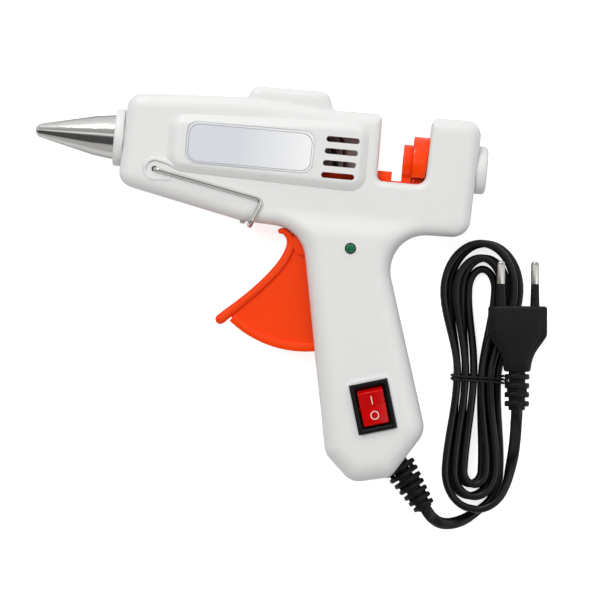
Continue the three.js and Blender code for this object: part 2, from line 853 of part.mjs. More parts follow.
// Feed carriage: a tray under the stick with a fork for the trigger's arm and ears for the clamp
const armTipX = pivotX + armLength * Math.sin(triggerTravel / 2);
const trayFrontX = sleeveRearX + strokeLength + 2 * clearance;
const trayRearX = windowFrontX + 0.3 * windowLength;
const trayTopY = windowFloorY + 3.5;
const trayBottomY = windowFloorY - clearance / 3;
const baseBottomY = feedFloorY + clearance;
const baseHalf = 4.2;
const stepFrontX = windowRearX - 0.4875 * windowLength;
const stepLength = 2.4;
const stepOuter = stickRadius + 2.6;
const stepInner = stickRadius + 0.6;
const clampX = windowRearX - 2.6;
const clampPivotDrop = 0.2;
const clampPivotY = windowFloorY - clampPivotDrop;
const clampPinRadius = 1.1;
const earHalfOuter = 4.6;
const earHalfInner = 3.2;
const earRadius = 1.8;
const forkHeight = 3.8;
const forkCheek = 2.6;
const forkHalfGap = armTipRadius + clearance;
const forkHalfWidth = 3.6;
const forkTopY = pivotY + armLength + armTipRadius + clearance;
const tray = box(trayFrontX, trayRearX, trayBottomY, trayTopY, -feedHalf, feedHalf);
const base = box(trayFrontX, windowRearX - clearance, baseBottomY, trayBottomY + clearance, -baseHalf, baseHalf);
const fork = box(
  armTipX - forkHalfGap - forkCheek,
  armTipX + forkHalfGap + forkCheek,
  baseBottomY - forkHeight,
  baseBottomY + clearance,
  -forkHalfWidth,
  forkHalfWidth,
);
const forkGap = box(
  armTipX - forkHalfGap,
  armTipX + forkHalfGap,
  baseBottomY - forkHeight - overrun,
  forkTopY,
  -forkHalfWidth - overrun,
  forkHalfWidth + overrun,
);
const stepRing = bar("x", stepOuter, stepFrontX, stepFrontX + stepLength, [0, 0], 24);
const stepFoot = box(stepFrontX, stepFrontX + stepLength, trayBottomY, 0, -baseHalf, baseHalf);
const ears = [-1, 1].map((side) => {
  const middle = (side * (earHalfOuter + earHalfInner)) / 2;
  const half = (earHalfOuter - earHalfInner) / 2;
  const eye = bar("z", earRadius, middle - half, middle + half, [clampX, clampPivotY], 14);
  const root = box(
    clampX - earRadius,
    clampX + earRadius,
    baseBottomY,
    clampPivotY,
    middle - half,
    middle + half,
  );
  return eye.add(root);
});
const earHole = bar("z", clampPinRadius + clearance, -overrun * 2, overrun * 2, [clampX, clampPivotY], 12);
const trayGroove = bar("x", stepInner, trayFrontX - overrun, trayRearX + overrun, [0, 0], 24);
const stepBore = bar("x", stepInner, trayRearX, windowRearX, [0, 0], 24);
const carriage = cut(joined([tray, base, fork, stepRing, stepFoot]), [forkGap, trayGroove, stepBore]);
const clampSpace = box(
  stepFrontX + stepLength,
  windowRearX + overrun,
  baseBottomY - overrun,
  bodyHeight,
  -earHalfInner,
  earHalfInner,
);
piece(
  gun,
  "feed_carriage",
  cut(joined([carriage.subtract(clampSpace), ...ears]), [earHole]),
  "orangeFeed",
);

// Grip clamp: a ring plate on a cross pin, whose rear edge bites the stick as it tilts
const clampRadius = 9.3;
const clampHalf = 2.1;
const clampBore = stickRadius + 0.4;
const clampNeckHalf = earHalfInner - clearance;
const clampRing = bar("x", clampRadius, clampX - clampHalf, clampX + clampHalf, [0, 0], 32);
const clampCrown = box(
  clampX - clampHalf,
  clampX + clampHalf,
  clampPivotY + earRadius + 2 * clearance,
  bodyHeight,
  -clampRadius,
  clampRadius,
);
const clampNeck = box(
  clampX - clampHalf,
  clampX + clampHalf,
  clampPivotY - clampPinRadius,
  clampPivotY + earRadius + wall,
  -clampNeckHalf,
  clampNeckHalf,
);
const clampPin = bar("z", clampPinRadius, -earHalfOuter, earHalfOuter, [clampX, clampPivotY], 12);
const clampHole = bar("x", clampBore, clampX - overrun, clampX + overrun, [0, 0], 28);
piece(
  gun,
  "grip_clamp",
  cut(joined([clampRing.intersect(clampCrown), clampNeck]), [clampHole]).add(clampPin),
  "orangeFeed",
);

// Trigger: a sector web with a beaded finger face, a rimmed arc, a hub and an arm to the fork.
// Its outline is drawn about the pivot, as shares of the sector's radius.
const webHalf = 4.4;
const rimHalf = 5.3;
const rimDepth = 2.7;
const beadRadius = 1.5;
const faceShares = [
  [-0.249, 0.077],
  [-0.262, 0.11],
  [-0.285, 0.096],
  [-0.23, 0.035],
  [-0.197, -0.036],
  [-0.2, -0.107],
  [-0.258, -0.186],
  [-0.312, -0.266],
  [-0.362, -0.342],
  [-0.447, -0.425],
  [-0.493, -0.501],
  [-0.597, -0.584],
  [-0.679, -0.666],
  [-0.775, -0.748],
  [-0.77, -0.82],
];
const facePath = faceShares
  .slice(2)
  .map(([x, y]) => new THREE.Vector3(x * sectorRadius, y * sectorRadius, 0));
const webInnerAngle = 290;
const arcStartAngle = 231.5;
const webOutline = [
  new THREE.Vector2(),
  ...faceShares.slice(2, 14).map(([x, y]) => new THREE.Vector2(x * sectorRadius, y * sectorRadius)),
  ...pivotArc(sectorRadius, arcStartAngle, webInnerAngle, 10),
];
const rimOutline = [
  ...pivotArc(sectorRadius - rimDepth, arcStartAngle, webInnerAngle, 10).reverse(),
  ...pivotArc(sectorRadius, arcStartAngle, webInnerAngle, 10),
];
const beadSides = 8;

// A bar with round sides that follows the finger face, as wide as the trigger.
function beadAlong(points, half, radius) {
  const profile = Array.from({ length: beadSides }, (_, i) => (2 * Math.PI * (i + 0.5)) / beadSides);
  const rings = points.map((point, i) => {
    const along = directionAt(points, i);
    const across = new THREE.Vector3(0, 0, 1);
    const other = along.clone().cross(across);
    return profile.map((angle) => {
      const sideways = Math.sign(Math.cos(angle)) * (half - radius) + radius * Math.cos(angle);
      return point
        .clone()
        .addScaledVector(across, sideways)
        .addScaledVector(other, radius * Math.sin(angle));
    });
  });
  return solid(skin(rings));
}
const armNeck = 0.9;
const armRoot = 3;
const armTopHalf = forkHalfWidth;
const armHalf = 2;
const armShape = [
  new THREE.Vector2(-armRoot, 0),
  new THREE.Vector2(armRoot, 0),
  new THREE.Vector2(armNeck * 2, armLength * 0.6),
  new THREE.Vector2(armNeck, armLength * 0.75),
  new THREE.Vector2(armNeck, armLength),
  new THREE.Vector2(-armNeck, armLength),
  new THREE.Vector2(-armNeck, armLength * 0.75),
  new THREE.Vector2(-armNeck * 2, armLength * 0.6),
];
const arm = prism(armShape, -armHalf, armHalf)
  .add(bar("z", armTipRadius, -armTopHalf, armTopHalf, [0, armLength], 14))
  .rotate([0, 0, -THREE.MathUtils.radToDeg(triggerTravel / 2)]);
const hookX = 0.3 * sectorRadius;
const hookY = -0.1 * sectorRadius;
const springWire = 0.35;
const hookHole = bar("z", 3 * springWire, -overrun * 2, overrun * 2, [hookX, hookY], 10);
const hookTab = prism(
  rounded([
    [0, -hubRadius, wall / 4],
    [hookX + wall, hookY - wall, wall / 2],
    [hookX + wall, hookY + wall, wall / 2],
    [0, hubRadius, wall / 4],
  ]),
  -wall / 2,
  wall / 2,
);
const triggerSolid = cut(
  joined([
    prism(webOutline, -webHalf, webHalf),
    prism(rimOutline, -rimHalf, rimHalf),
    beadAlong(facePath, beadHalf, beadRadius),
    bar("z", hubRadius, -hubHalf, hubHalf, [0, 0], 20),
    arm,
    hookTab,
  ]),
  [bar("z", postRadius + clearance, -overrun * 2, overrun * 2, [0, 0], 16), hookHole],
);
const triggerMesh = piece(gun, "trigger", triggerSolid, "orangeFeed");
triggerMesh.position.set(pivotX, pivotY, 0);

// Return spring: wound wire from the trigger's hook to a post on the right shell
const springRadius = 1.9;
const springCoils = 9;
const coilSteps = 8;
const springSides = 5;
const springCoilShare = 0.62;
const springStart = new THREE.Vector3(pivotX + hookX, pivotY + hookY, 0);
const springPost = new THREE.Vector3(springPostX, springPostY, 0);
const springAlong = springPost.clone().sub(springStart).normalize();
const springAcross = springAlong.clone().cross(new THREE.Vector3(0, 0, 1));
const springSpan = springPost.distanceTo(springStart);
const hookRise = wall / 2 + 3 * springWire;

// A place on the spring's own axes: along it, across it in the plane, and up.
function onSpring(along, across, up) {
  return springStart
    .clone()
    .addScaledVector(springAlong, along)
    .addScaledVector(springAcross, across)
    .add(new THREE.Vector3(0, 0, up));
}
const coilLength = springSpan * springCoilShare;
const coilFrom = (springSpan - coilLength) / 2;
const coilPoints = Array.from({ length: springCoils * coilSteps + 1 }, (_, i) => {
  const angle = (2 * Math.PI * i) / coilSteps;
  const along = coilFrom + (coilLength * i) / (springCoils * coilSteps);
  return onSpring(along, springRadius * Math.sin(angle), springRadius * Math.cos(angle));
});
const postSide = springPostRadius + springWire + clearance;
const postHookPoints = 8;
const postHook = Array.from({ length: postHookPoints }, (_, i) => {
  const angle = ((i - 3) * Math.PI) / 6;
  return onSpring(springSpan + postSide * Math.cos(angle), postSide * Math.sin(angle), 0);
});
const springPath = [
  onSpring(0, 0, -hookRise),
  onSpring(0, 0, hookRise / 2),
  onSpring(wall, 0, hookRise),
  ...coilPoints,
  onSpring(springSpan - postSide, -postSide, springRadius / 2),
  ...postHook,
];
piece(gun, "return_spring", wire(springPath, springWire, springSides), "springSteel");

// Wire stand: one bent wire hooked into both sides, its foot across under the barrel
const standBend = 1.8;
const standSide = [
  new THREE.Vector3(standX, standY, standHookHalf),
  new THREE.Vector3(standX, standY, standHalf),
  new THREE.Vector3(standBendX, standBendY, standHalf),
  new THREE.Vector3(standFootX, standFootY, standHalf),
];
const standOther = standSide.map((point) => new THREE.Vector3(point.x, point.y, -point.z)).reverse();
const standPath = bentPath([...standSide, ...standOther], standBend, 4);
piece(gun, "wire_stand", wire(standPath, standWire, 8), "springSteel");

// Switch frame: a bezel on the grip's face with a box below, open to the rocker
const rockerWidth = 8.5;
const rockerReach = 6.15;
const rockerRise = 1.8;
const rockerTravel = THREE.MathUtils.degToRad(20);
const rockerAxisZ = faceHalf - clearance;
const rockerPin = 0.8;
const rockerDrop = 3.2;
const bezelLowZ = faceHalf + clearance / 2;
const bezelTopZ = bezelLowZ + bezelRise;
const rockerSweep = (rockerReach / 2) * Math.sin(rockerTravel) + rockerDrop * Math.cos(rockerTravel);
const cavityLowZ = rockerAxisZ - rockerSweep - clearance;
const switchLowZ = faceHalf - switchDepth;
const pinReach = rockerWidth / 2 + 2 * clearance;

// Puts a solid made about the switch's own centre at its place on the grip.
function onSwitch(made) {
  return made
    .rotate([0, 0, THREE.MathUtils.radToDeg(switchTilt)])
    .translate([switchX, switchY, 0]);
}
const frameSolid = cut(
  joined([
    switchBox(bezelWidth, bezelLength, bezelLowZ, bezelTopZ),
    switchBox(switchBodyWidth, switchBodyLength, switchLowZ, bezelTopZ),
  ]),
  [
    switchBox(rockerWidth + 2 * clearance, 2 * (rockerReach + clearance), cavityLowZ, bezelTopZ + overrun),
    onSwitch(bar("x", rockerPin + clearance, -pinReach - clearance, pinReach + clearance, [0, rockerAxisZ], 12)),
  ],
);
piece(gun, "switch_frame", frameSolid, "blackPlastic");

// Switch rocker at off: its lower facet level, its upper end raised
const levelY = Math.sqrt(rockerReach ** 2 - rockerRise ** 2);
const raised = new THREE.Vector2(levelY, rockerRise).rotateAround(new THREE.Vector2(), rockerTravel);
const valleyY = raised.x - (raised.y - rockerRise) / Math.tan(rockerTravel);
const rockerSide = [
  new THREE.Vector2(-levelY, rockerRise),
  new THREE.Vector2(-rockerReach, 0),
  new THREE.Vector2(-rockerReach / 2, -rockerDrop),
  new THREE.Vector2(rockerReach / 2, -rockerDrop),
  new THREE.Vector2(rockerReach, 0),
  raised,
  new THREE.Vector2(valleyY, rockerRise),
];
const rockerBlock = prism(rockerSide, -rockerWidth / 2, rockerWidth / 2)
  .rotate([90, 0, 90])
  .translate([0, 0, rockerAxisZ]);
const rockerPins = bar("x", rockerPin, -pinReach, pinReach, [0, rockerAxisZ], 12);
piece(gun, "switch_rocker", onSwitch(rockerBlock.add(rockerPins)), "redPlastic");

// Switch terminals: two flat brass tabs below the frame
const terminalWidth = 4.6;
const terminalThickness = 0.8;
const terminalLength = 7;
const terminalOffsets = [-0.25 * switchBodyLength, 0.25 * switchBodyLength];
const terminalTopZ = switchLowZ - clearance;
["switch_terminal_line", "switch_terminal_load"].forEach((name, i) => {
  const half = terminalThickness / 2;
  const tab = box(
    -terminalWidth / 2,
    terminalWidth / 2,
    terminalOffsets[i] - half,
    terminalOffsets[i] + half,
    terminalTopZ - terminalLength,
    terminalTopZ,
  );
  piece(gun, name, onSwitch(tab), "brassContact");
});

// Lamp: a domed lens in the grip's face, on a small board behind it
const lampFlange = 2.2;
const lampFlangeHeight = 0.8;
const lampFlangeTop = faceHalf - wall - clearance;
const lensPlace = [lampX, lampY];
const dome = solid(new THREE.SphereGeometry(lampRadius, 16, 6).translate(lampX, lampY, faceHalf));
piece(
  gun,
  "lamp_lens",
  joined([
    bar("z", lampRadius, lampFlangeTop - lampFlangeHeight, faceHalf, lensPlace, 16),
    dome,
    bar("z", lampFlange, lampFlangeTop - lampFlangeHeight, lampFlangeTop, lensPlace, 16),
  ]),
  "greenLens",
);
const boardLength = 11;
const boardWidth = 7;
const boardThickness = 1.2;
const boardTopZ = lampFlangeTop - lampFlangeHeight - clearance;
const resistorRadius = 0.9;
const lampBoard = box(
  lampX - boardWidth / 2,
  lampX + boardWidth / 2,
  lampY - boardLength / 2,
  lampY + boardLength / 2,
  boardTopZ - boardThickness,
  boardTopZ,
);
const resistorZ = boardTopZ - boardThickness - resistorRadius / 2;
const resistor = bar(
  "y",
  resistorRadius,
  lampY - boardLength / 4,
  lampY + boardLength / 4,
  [lampX, resistorZ],
  10,
);
piece(gun, "lamp_board", lampBoard.add(resistor), "boardGreen");

// Cord strain relief: a flange in the shells' seat, a neck and a ribbed taper outside
const reliefCore = 2.7;
const reliefGap = 0.6;
const reliefPitch = (reliefLength - reliefGap) / reliefRibs;
const reliefRibShare = 0.58;
const reliefSection = [
  [-4 * wall + clearance, 0],
  [-4 * wall + clearance, reliefFlange],
  [-wall - 2 * clearance, reliefFlange],
  [-wall - 2 * clearance, reliefNeckRadius],
  [reliefGap, reliefNeckRadius],
];
for (let rib = 0; rib < reliefRibs; rib++) {
  const start = reliefGap + rib * reliefPitch;
  const taper = (rib + 0.5) / reliefRibs;
  const radius = THREE.MathUtils.lerp(reliefRootRadius, reliefTipRadius, taper);
  const end = start + reliefPitch * reliefRibShare;
  reliefSection.push([start, radius], [end, radius]);
  if (rib + 1 < reliefRibs) reliefSection.push([end, reliefCore], [start + reliefPitch, reliefCore]);
}
const reliefEndX = reliefGap + (reliefRibs - 1 + reliefRibShare) * reliefPitch;
reliefSection.push([reliefEndX, 0]);
piece(gun, "cord_strain_relief", onReliefAxis(turned(reliefSection, 16)), "blackRubber");

// Leads inside the grip, from the cord and the switch to the heater's strips
const leadRadius = 0.8;
const leadSides = 6;
const gripSide = -(faceHalf - wall - 2.4 * leadRadius);
const barrelSide = -(sideHalf - wall - leadRadius - clearance);
const tabX = heaterRearX + heaterTab + clearance;
const lowTabY = heaterLowY + stripHeight / 2;
const highTabY = heaterLowY + heaterHeight - stripHeight / 2;
const leadRoutes = {
  neutral_lead: [
    [36.95, -93.76, -1.3],
    [36.05, -92.58, -1.4],
    [31.5, -90.5, -8],
    [27, -85, gripSide],
    [24.8, -75, gripSide],
    [23, -62, gripSide],
    [20.5, -48, gripSide],
    [17.5, -34, gripSide],
    [14.4, -22, barrelSide],
    [12.8, -8, barrelSide],
    [11, 3, barrelSide],
    [6, 7.6, -7.4],
    [-3, 8.3, -5],
    [-12, 8.2, -3],
    [tabX + 2 * leadRadius, lowTabY, -heaterWidth / 4],
    [tabX, lowTabY, -heaterWidth / 4],
  ],
  heater_lead: [
    [30.39, -77.33, -3.5],
    [29.7, -75, -4.2],
    [28.6, -70, -7.5],
    [27.4, -64, gripSide],
    [26.6, -58, gripSide],
    [24.2, -48, gripSide],
    [21, -34, gripSide],
    [17.6, -22, barrelSide],
    [16, -8, barrelSide],
    [14.4, 4, barrelSide],
    [11.5, 9.6, -7],
    [4, 11.6, -3.5],
    [-8, 11.6, 0.5],
    [tabX + 2 * leadRadius, highTabY, heaterWidth / 4],
    [tabX, highTabY, heaterWidth / 4],
  ],
  supply_lead: [
    [36.95, -93.76, 1.3],
    [36.05, -92.58, 1.3],
    [35, -90.7, -1.2],
    [33.8, -88.6, -3.2],
    [33.3, -87.1, -3.5],
    [32.85, -85.57, -3.5],
  ],
};
const leadSteps = 2;
Object.entries(leadRoutes).forEach(([name, route]) => {
  const curve = new THREE.CatmullRomCurve3(
    route.map(([x, y, z]) => new THREE.Vector3(x, y, z)),
    false,
    "centripetal",
  );
  const points = curve.getSpacedPoints((route.length - 1) * leadSteps);
  piece(gun, name, wire(points, leadRadius, leadSides), "blackRubber");
});

// The flat twin cord: its section, and its sweep along points with a twist from flat to on edge
const cordWidth = 3.9;
const cordThickness = 2.2;
const cordGap = 0.52;
const floorGap = 0.05;
const loopSectionShares = [
  [1, 0],
  [0.62, 1],
  [-0.62, 1],
  [-1, 0],
  [-0.62, -1],
  [0.62, -1],
];
const leadSectionShares = [
  [1, 0.45],
  [0.72, 1],
  [-0.72, 1],
  [-1, 0.45],
  [-1, -0.45],
  [-0.72, -1],
  [0.72, -1],
  [1, -0.45],
];
function flatCord(points, twistAt, sectionShares) {
  const up = new THREE.Vector3(0, 0, 1);
  return points.map((point, i) => {
    const along = directionAt(points, i);
    const level = along.clone().cross(up).normalize();
    const risen = level.clone().cross(along);
    const twist = twistAt(i / (points.length - 1));
    const broad = level.clone().multiplyScalar(Math.cos(twist)).addScaledVector(risen, Math.sin(twist));
    const thin = along.clone().cross(broad);
    return sectionShares.map(([share, thinShare]) =>
      point
        .clone()
        .addScaledVector(broad, (share * cordWidth) / 2)
        .addScaledVector(thin, (thinShare * cordThickness) / 2),
    );
  });
}

// Hank: one cord in loops of two layers, drawn in at the tied waist.
// Places are taken along its axis from the waist and across it.
const hankRuns = 10;
const turnSteps = 24;
const hankWaist = new THREE.Vector3(64.1, -69.2, 0);
const hankTurn = THREE.MathUtils.degToRad(2.23);
const waistStep = cordThickness + cordGap;
const waistHalf = 3 * waistStep;
const hankEnds = {
  top: { run: 29.5, half: 12.8, step: 5.3, reach: 18.1, rise: 4.6 },
  bottom: { run: 31, half: 9.2, step: 3.9, reach: 12.65, rise: waistStep },
};
const layerRise = cordWidth + cordGap;
const arcShare = 0.125;
const climbShare = 0.165;
const hankEntry = arcShare;
const tieWire = 0.45;
const tieLift = 2 * tieWire + clearance;
const tieLiftRun = 16.5;

// How far in a run lies: in over the first layer, out again over the second.
function runInset(run) {
  const inset = (run + 0.5) / 2;
  return Math.min(inset, (hankRuns + 1) / 2 - inset);
}

// Where the cord's centre lies after so many turns from the bottom of the hank.
function hankPoint(turns) {
  const share = turns - Math.floor(turns);
  const rising = share < 0.5;
  const side = rising ? share : 1 - share;
  const reach = THREE.MathUtils.clamp((side - arcShare) / (0.5 - 2 * arcShare), 0, 1);
  const along = THREE.MathUtils.lerp(-hankEnds.bottom.run, hankEnds.top.run, reach);
  const end = along > 0 ? hankEnds.top : hankEnds.bottom;
  const swell = THREE.MathUtils.smoothstep(Math.abs(along) / end.run, 0, 1);
  const place = 2 * turns - 0.5;
  const run = Math.floor(place);
  const passed = THREE.MathUtils.smoothstep(place - run, 2 * arcShare, 1 - 2 * arcShare);
  const spread = (n) => runInset(n) - (n >= hankRuns / 2 ? swell / 2 : 0);
  const inset = THREE.MathUtils.lerp(spread(run), spread(run + 1), passed);
  const step = THREE.MathUtils.lerp(waistStep, end.step, swell);
  const half = THREE.MathUtils.lerp(waistHalf, end.half + end.step / 4, swell) - inset * step;
  let bend = 0;
  if (side < arcShare) bend = -(1 - side / arcShare) * (Math.PI / 2);
  if (side > 0.5 - arcShare) bend = ((side - 0.5 + arcShare) / arcShare) * (Math.PI / 2);
  const across = (rising ? 1 : -1) * half * Math.cos(bend) - ((1 - swell) * waistStep) / 4;
  const beyond = (end.reach - inset * end.rise) * Math.sin(bend);
  const climbFrom = hankRuns / 4 + arcShare;
  const climb = THREE.MathUtils.smoothstep(turns, climbFrom, climbFrom + climbShare);
  const nearWaist = THREE.MathUtils.clamp(Math.abs(along) / tieLiftRun, 0, 1);
  const lift = tieLift * (1 - THREE.MathUtils.smoothstep(nearWaist, 0, 1));
  return new THREE.Vector3(across, along + beyond, 0)
    .applyAxisAngle(new THREE.Vector3(0, 0, 1), hankTurn)
    .add(hankWaist)
    .add(new THREE.Vector3(0, 0, cordWidth / 2 + floorGap + lift + climb * layerRise));
}
function hankPoints(perTurn) {
  const steps = Math.round((hankRuns / 2 - hankEntry) * perTurn);
  return Array.from({ length: steps + 1 }, (_, i) => hankPoint(hankEntry + i / perTurn));
}
const onEdge = () => Math.PI / 2;
const hankRings = flatCord(hankPoints(turnSteps), onEdge, loopSectionShares);
piece(part, "cord_hank", solid(skin(hankRings)), "blackRubber");

// The least gap between two runs of the hank, measured on points of its middle line.
const hankFine = hankPoints(4 * turnSteps);
let leastGap = Infinity;
hankFine.forEach((here, i) => {
  hankFine.slice(i + turnSteps).forEach((there) => {
    const level = Math.hypot(there.x - here.x, there.y - here.y) - cordThickness;
    const upright = Math.abs(there.z - here.z) - cordWidth;
    leastGap = Math.min(leastGap, Math.hypot(Math.max(level, 0), Math.max(upright, 0)));
  });
});
console.log(`cord_hank: least gap between its runs ${leastGap.toFixed(2)} mm`);

// Plug: a flat body with a tapering shoulder, a ribbed tail, two pins and their sleeves
const plugWidth = 19.6;
const plugLength = 21.9;
const plugThickness = 8.4;
const plugParallelShare = 0.46;
const plugNeckWidth = 8.7;
const plugEdge = 1.1;
const plugX = 77.74;
const plugY = -54.82;
const plugTurn = THREE.MathUtils.degToRad(4.65);
const hankTopZ = 1.5 * cordWidth + cordGap + cordWidth / 2 + floorGap;
const plugZ = hankTopZ + tieLift + clearance + plugThickness / 2;
const pinSpacing = 11.4;
const pinRadius = 1.4;
const pinLength = 15;
const sleeveShare = 0.51;
const tailLength = 12.2;
const tailRadius = 4.15;
const tailCore = 2.8;
const tailRibs = 4;
const tailRibShare = 0.62;
const plug = new THREE.Group();
plug.position.set(plugX, plugY, plugZ);
plug.rotation.z = plugTurn;
part.add(plug);

const plugTopY = plugLength / 2;
const shoulderY = plugTopY - plugParallelShare * plugLength;
const plugOutline = rounded([
  [-plugWidth / 2, plugTopY, plugEdge * 1.2],
  [-plugWidth / 2, shoulderY, plugEdge * 2],
  [-plugNeckWidth / 2, -plugTopY, plugEdge * 1.2],
  [plugNeckWidth / 2, -plugTopY, plugEdge * 1.2],
  [plugWidth / 2, shoulderY, plugEdge * 2],
  [plugWidth / 2, plugTopY, plugEdge * 1.2],
]);
const plugBlock = soft(plugOutline, plugThickness / 2, plugEdge, plugEdge);
const tailSection = [[-plugTopY - tailLength, 0]];
const tailPitch = tailLength / tailRibs;
for (let rib = tailRibs - 1; rib >= 0; rib--) {
  const start = -plugTopY - (rib + 1) * tailPitch;
  tailSection.push([start, tailRadius], [start + tailPitch * tailRibShare, tailRadius]);
  tailSection.push([start + tailPitch * tailRibShare, tailCore], [start + tailPitch, tailCore]);
}
tailSection.push([-plugTopY + plugEdge, tailCore], [-plugTopY + plugEdge, 0]);
const tail = turned(tailSection, 18).rotate([0, 0, 90]);
const pinHoleDepth = 5;
const pinHoles = [-1, 1].map((side) =>
  bar(
    "y",
    pinRadius + clearance,
    plugTopY - pinHoleDepth - clearance,
    plugTopY + overrun,
    [(side * pinSpacing) / 2, 0],
    16,
  ),
);
piece(plug, "plug_body", cut(plugBlock.add(tail), pinHoles), "blackRubber");

// Each pin runs through its sleeve, with the bare metal end rounded
const sleeveTopY = plugTopY + pinLength * sleeveShare;
const pinCore = pinRadius * 0.6;
[-1, 1].forEach((side) => {
  const x = (side * pinSpacing) / 2;
  const name = side < 0 ? "left" : "right";
  const tipY = plugTopY + pinLength;
  const pinSection = [
    [plugTopY - pinHoleDepth, 0],
    [plugTopY - pinHoleDepth, pinCore],
    [sleeveTopY + clearance, pinCore],
    [sleeveTopY + clearance, pinRadius],
    [tipY - pinRadius, pinRadius],
    [tipY - pinRadius * 0.3, pinRadius * 0.7],
    [tipY, 0],
  ];
  const pin = turned(pinSection, 16).rotate([0, 0, 90]).translate([x, 0, 0]);
  piece(plug, `plug_pin_${name}`, pin, "platedPin");
  const sleeve = cut(bar("y", pinRadius, plugTopY - pinHoleDepth, sleeveTopY, [x, 0], 16), [
    bar("y", pinCore + clearance, plugTopY - pinHoleDepth - overrun, sleeveTopY + overrun, [x, 0], 12),
  ]);
  piece(plug, `pin_sleeve_${name}`, sleeve, "blackPlastic");
});

// Cord from the gun to the hank: chosen points, flat at the gun and on edge at the hank
const reliefWay = new THREE.Vector3(Math.cos(reliefAngle), Math.sin(reliefAngle), 0);
const reliefEnd = new THREE.Vector3(reliefX, reliefY, faceHalf).addScaledVector(
  reliefWay,
  reliefEndX + clearance,
);
const hankStart = hankPoint(hankEntry);
const hankStartWay = hankPoint(hankEntry + 1 / turnSteps).sub(hankStart).normalize();
const hankFinish = hankPoint(hankRuns / 2);
const hankFinishWay = hankFinish.clone().sub(hankPoint(hankRuns / 2 - 1 / turnSteps)).normalize();
const gunLeadRoute = [
  [54.9, -116.8, 12.9],
  [57.6, -118.3, 10.6],
  [61.4, -118.4, 7],
  [65.4, -117, 4],
  [69.4, -114.2, 2.6],
  [72.6, -110.2, 2.1],
  [74.3, -105.6, 2.05],
];
const plugLeadRoute = [
  [70, -112.2, 6.6],
  [73.6, -109.9, 6.8],
  [76.4, -106.4, 6.4],
  [78.4, -101.6, 4.6],
  [79.6, -96.4, 2.8],
  [80.2, -91, 3.4],
  [80.2, -86, 7.4],
  [79.9, -82, 11.8],
];
const plugTail = new THREE.Vector3(0, -plugTopY - tailLength - clearance, 0);
plugTail.applyAxisAngle(new THREE.Vector3(0, 0, 1), plugTurn).add(plug.position);
const plugWay = new THREE.Vector3(0, 1, 0).applyAxisAngle(new THREE.Vector3(0, 0, 1), plugTurn);
const straightEnd = cordWidth / 2;

// A free stretch of cord through its chosen points, with straight ends of half a width.
function freeCord(start, startWay, route, end, endWay, steps) {
  const curve = new THREE.CatmullRomCurve3(
    [
      start,
      start.clone().addScaledVector(startWay, straightEnd),
      ...route.map(([x, y, z]) => new THREE.Vector3(x, y, z)),
      end.clone().addScaledVector(endWay, -straightEnd),
      end,
    ],
    false,
    "centripetal",
  );
  return curve.getSpacedPoints(steps);
}
const turnOver = (from, to) => (share) =>
  from + (to - from) * THREE.MathUtils.smoothstep(share, 0.25, 0.75);
const gunLeadPoints = freeCord(
  reliefEnd,
  reliefWay,
  gunLeadRoute,
  hankStart.clone().addScaledVector(hankStartWay, -clearance),
  hankStartWay,
  16,
);
const gunLeadTwist = turnOver(0, Math.PI / 2);
const gunLeadRings = flatCord(gunLeadPoints, gunLeadTwist, leadSectionShares);
piece(part, "cord_lead", solid(skin(gunLeadRings)), "blackRubber");
const plugLeadPoints = freeCord(
  hankFinish.clone().addScaledVector(hankFinishWay, clearance),
  hankFinishWay,
  plugLeadRoute,
  plugTail,
  plugWay,
  18,
);
const plugLeadTwist = turnOver(Math.PI / 2, 0);
const plugLeadRings = flatCord(plugLeadPoints, plugLeadTwist, leadSectionShares);
piece(part, "plug_lead", solid(skin(plugLeadRings)), "blackRubber");

// Tie: two turns of thin wire round the waist, over both layers
const tieTurns = 2;
const tiePitch = 2.6 * tieWire;
const tieHalf = waistHalf - waistStep / 2 + cordThickness / 2 + tieWire + clearance;
const tieLowZ = tieWire + floorGap;
const tieHighZ = hankTopZ + tieLift + tieWire + clearance;
const tieCorner = 1.6;
const tieLoop = rounded(
  [
    [tieHalf, tieLowZ, tieCorner],
    [tieHalf, tieHighZ, tieCorner],
    [-tieHalf, tieHighZ, tieCorner],
    [-tieHalf, tieLowZ, tieCorner],
  ],
  Math.PI / 8,
);
const tiePath = Array.from({ length: tieTurns * tieLoop.length + 1 }, (_, i) => {
  const place = tieLoop[i % tieLoop.length];
  const along = (i / tieLoop.length - tieTurns / 2) * tiePitch;
  return new THREE.Vector3(place.x, along, place.y)
    .applyAxisAngle(new THREE.Vector3(0, 0, 1), hankTurn)
    .add(hankWaist);
});
piece(part, "hank_tie", wire(tiePath, tieWire, 6), "blackPlastic");

export default part;
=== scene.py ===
import math

import bmesh
import bpy
import numpy as np
from mathutils import Matrix, Vector
from mathutils.geometry import delaunay_2d_cdt


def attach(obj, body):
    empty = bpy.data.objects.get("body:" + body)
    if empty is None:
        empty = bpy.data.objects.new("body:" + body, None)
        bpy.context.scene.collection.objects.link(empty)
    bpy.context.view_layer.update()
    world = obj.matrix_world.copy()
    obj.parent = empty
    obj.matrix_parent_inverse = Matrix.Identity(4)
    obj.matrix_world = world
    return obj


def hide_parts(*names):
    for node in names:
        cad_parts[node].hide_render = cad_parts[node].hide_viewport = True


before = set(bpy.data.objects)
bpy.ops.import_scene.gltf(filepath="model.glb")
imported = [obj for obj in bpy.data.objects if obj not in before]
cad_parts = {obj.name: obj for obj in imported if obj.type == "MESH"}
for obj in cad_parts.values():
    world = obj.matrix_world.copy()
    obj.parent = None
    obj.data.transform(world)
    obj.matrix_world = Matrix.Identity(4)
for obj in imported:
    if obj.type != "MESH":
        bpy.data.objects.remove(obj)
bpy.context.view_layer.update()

mm = 0.001

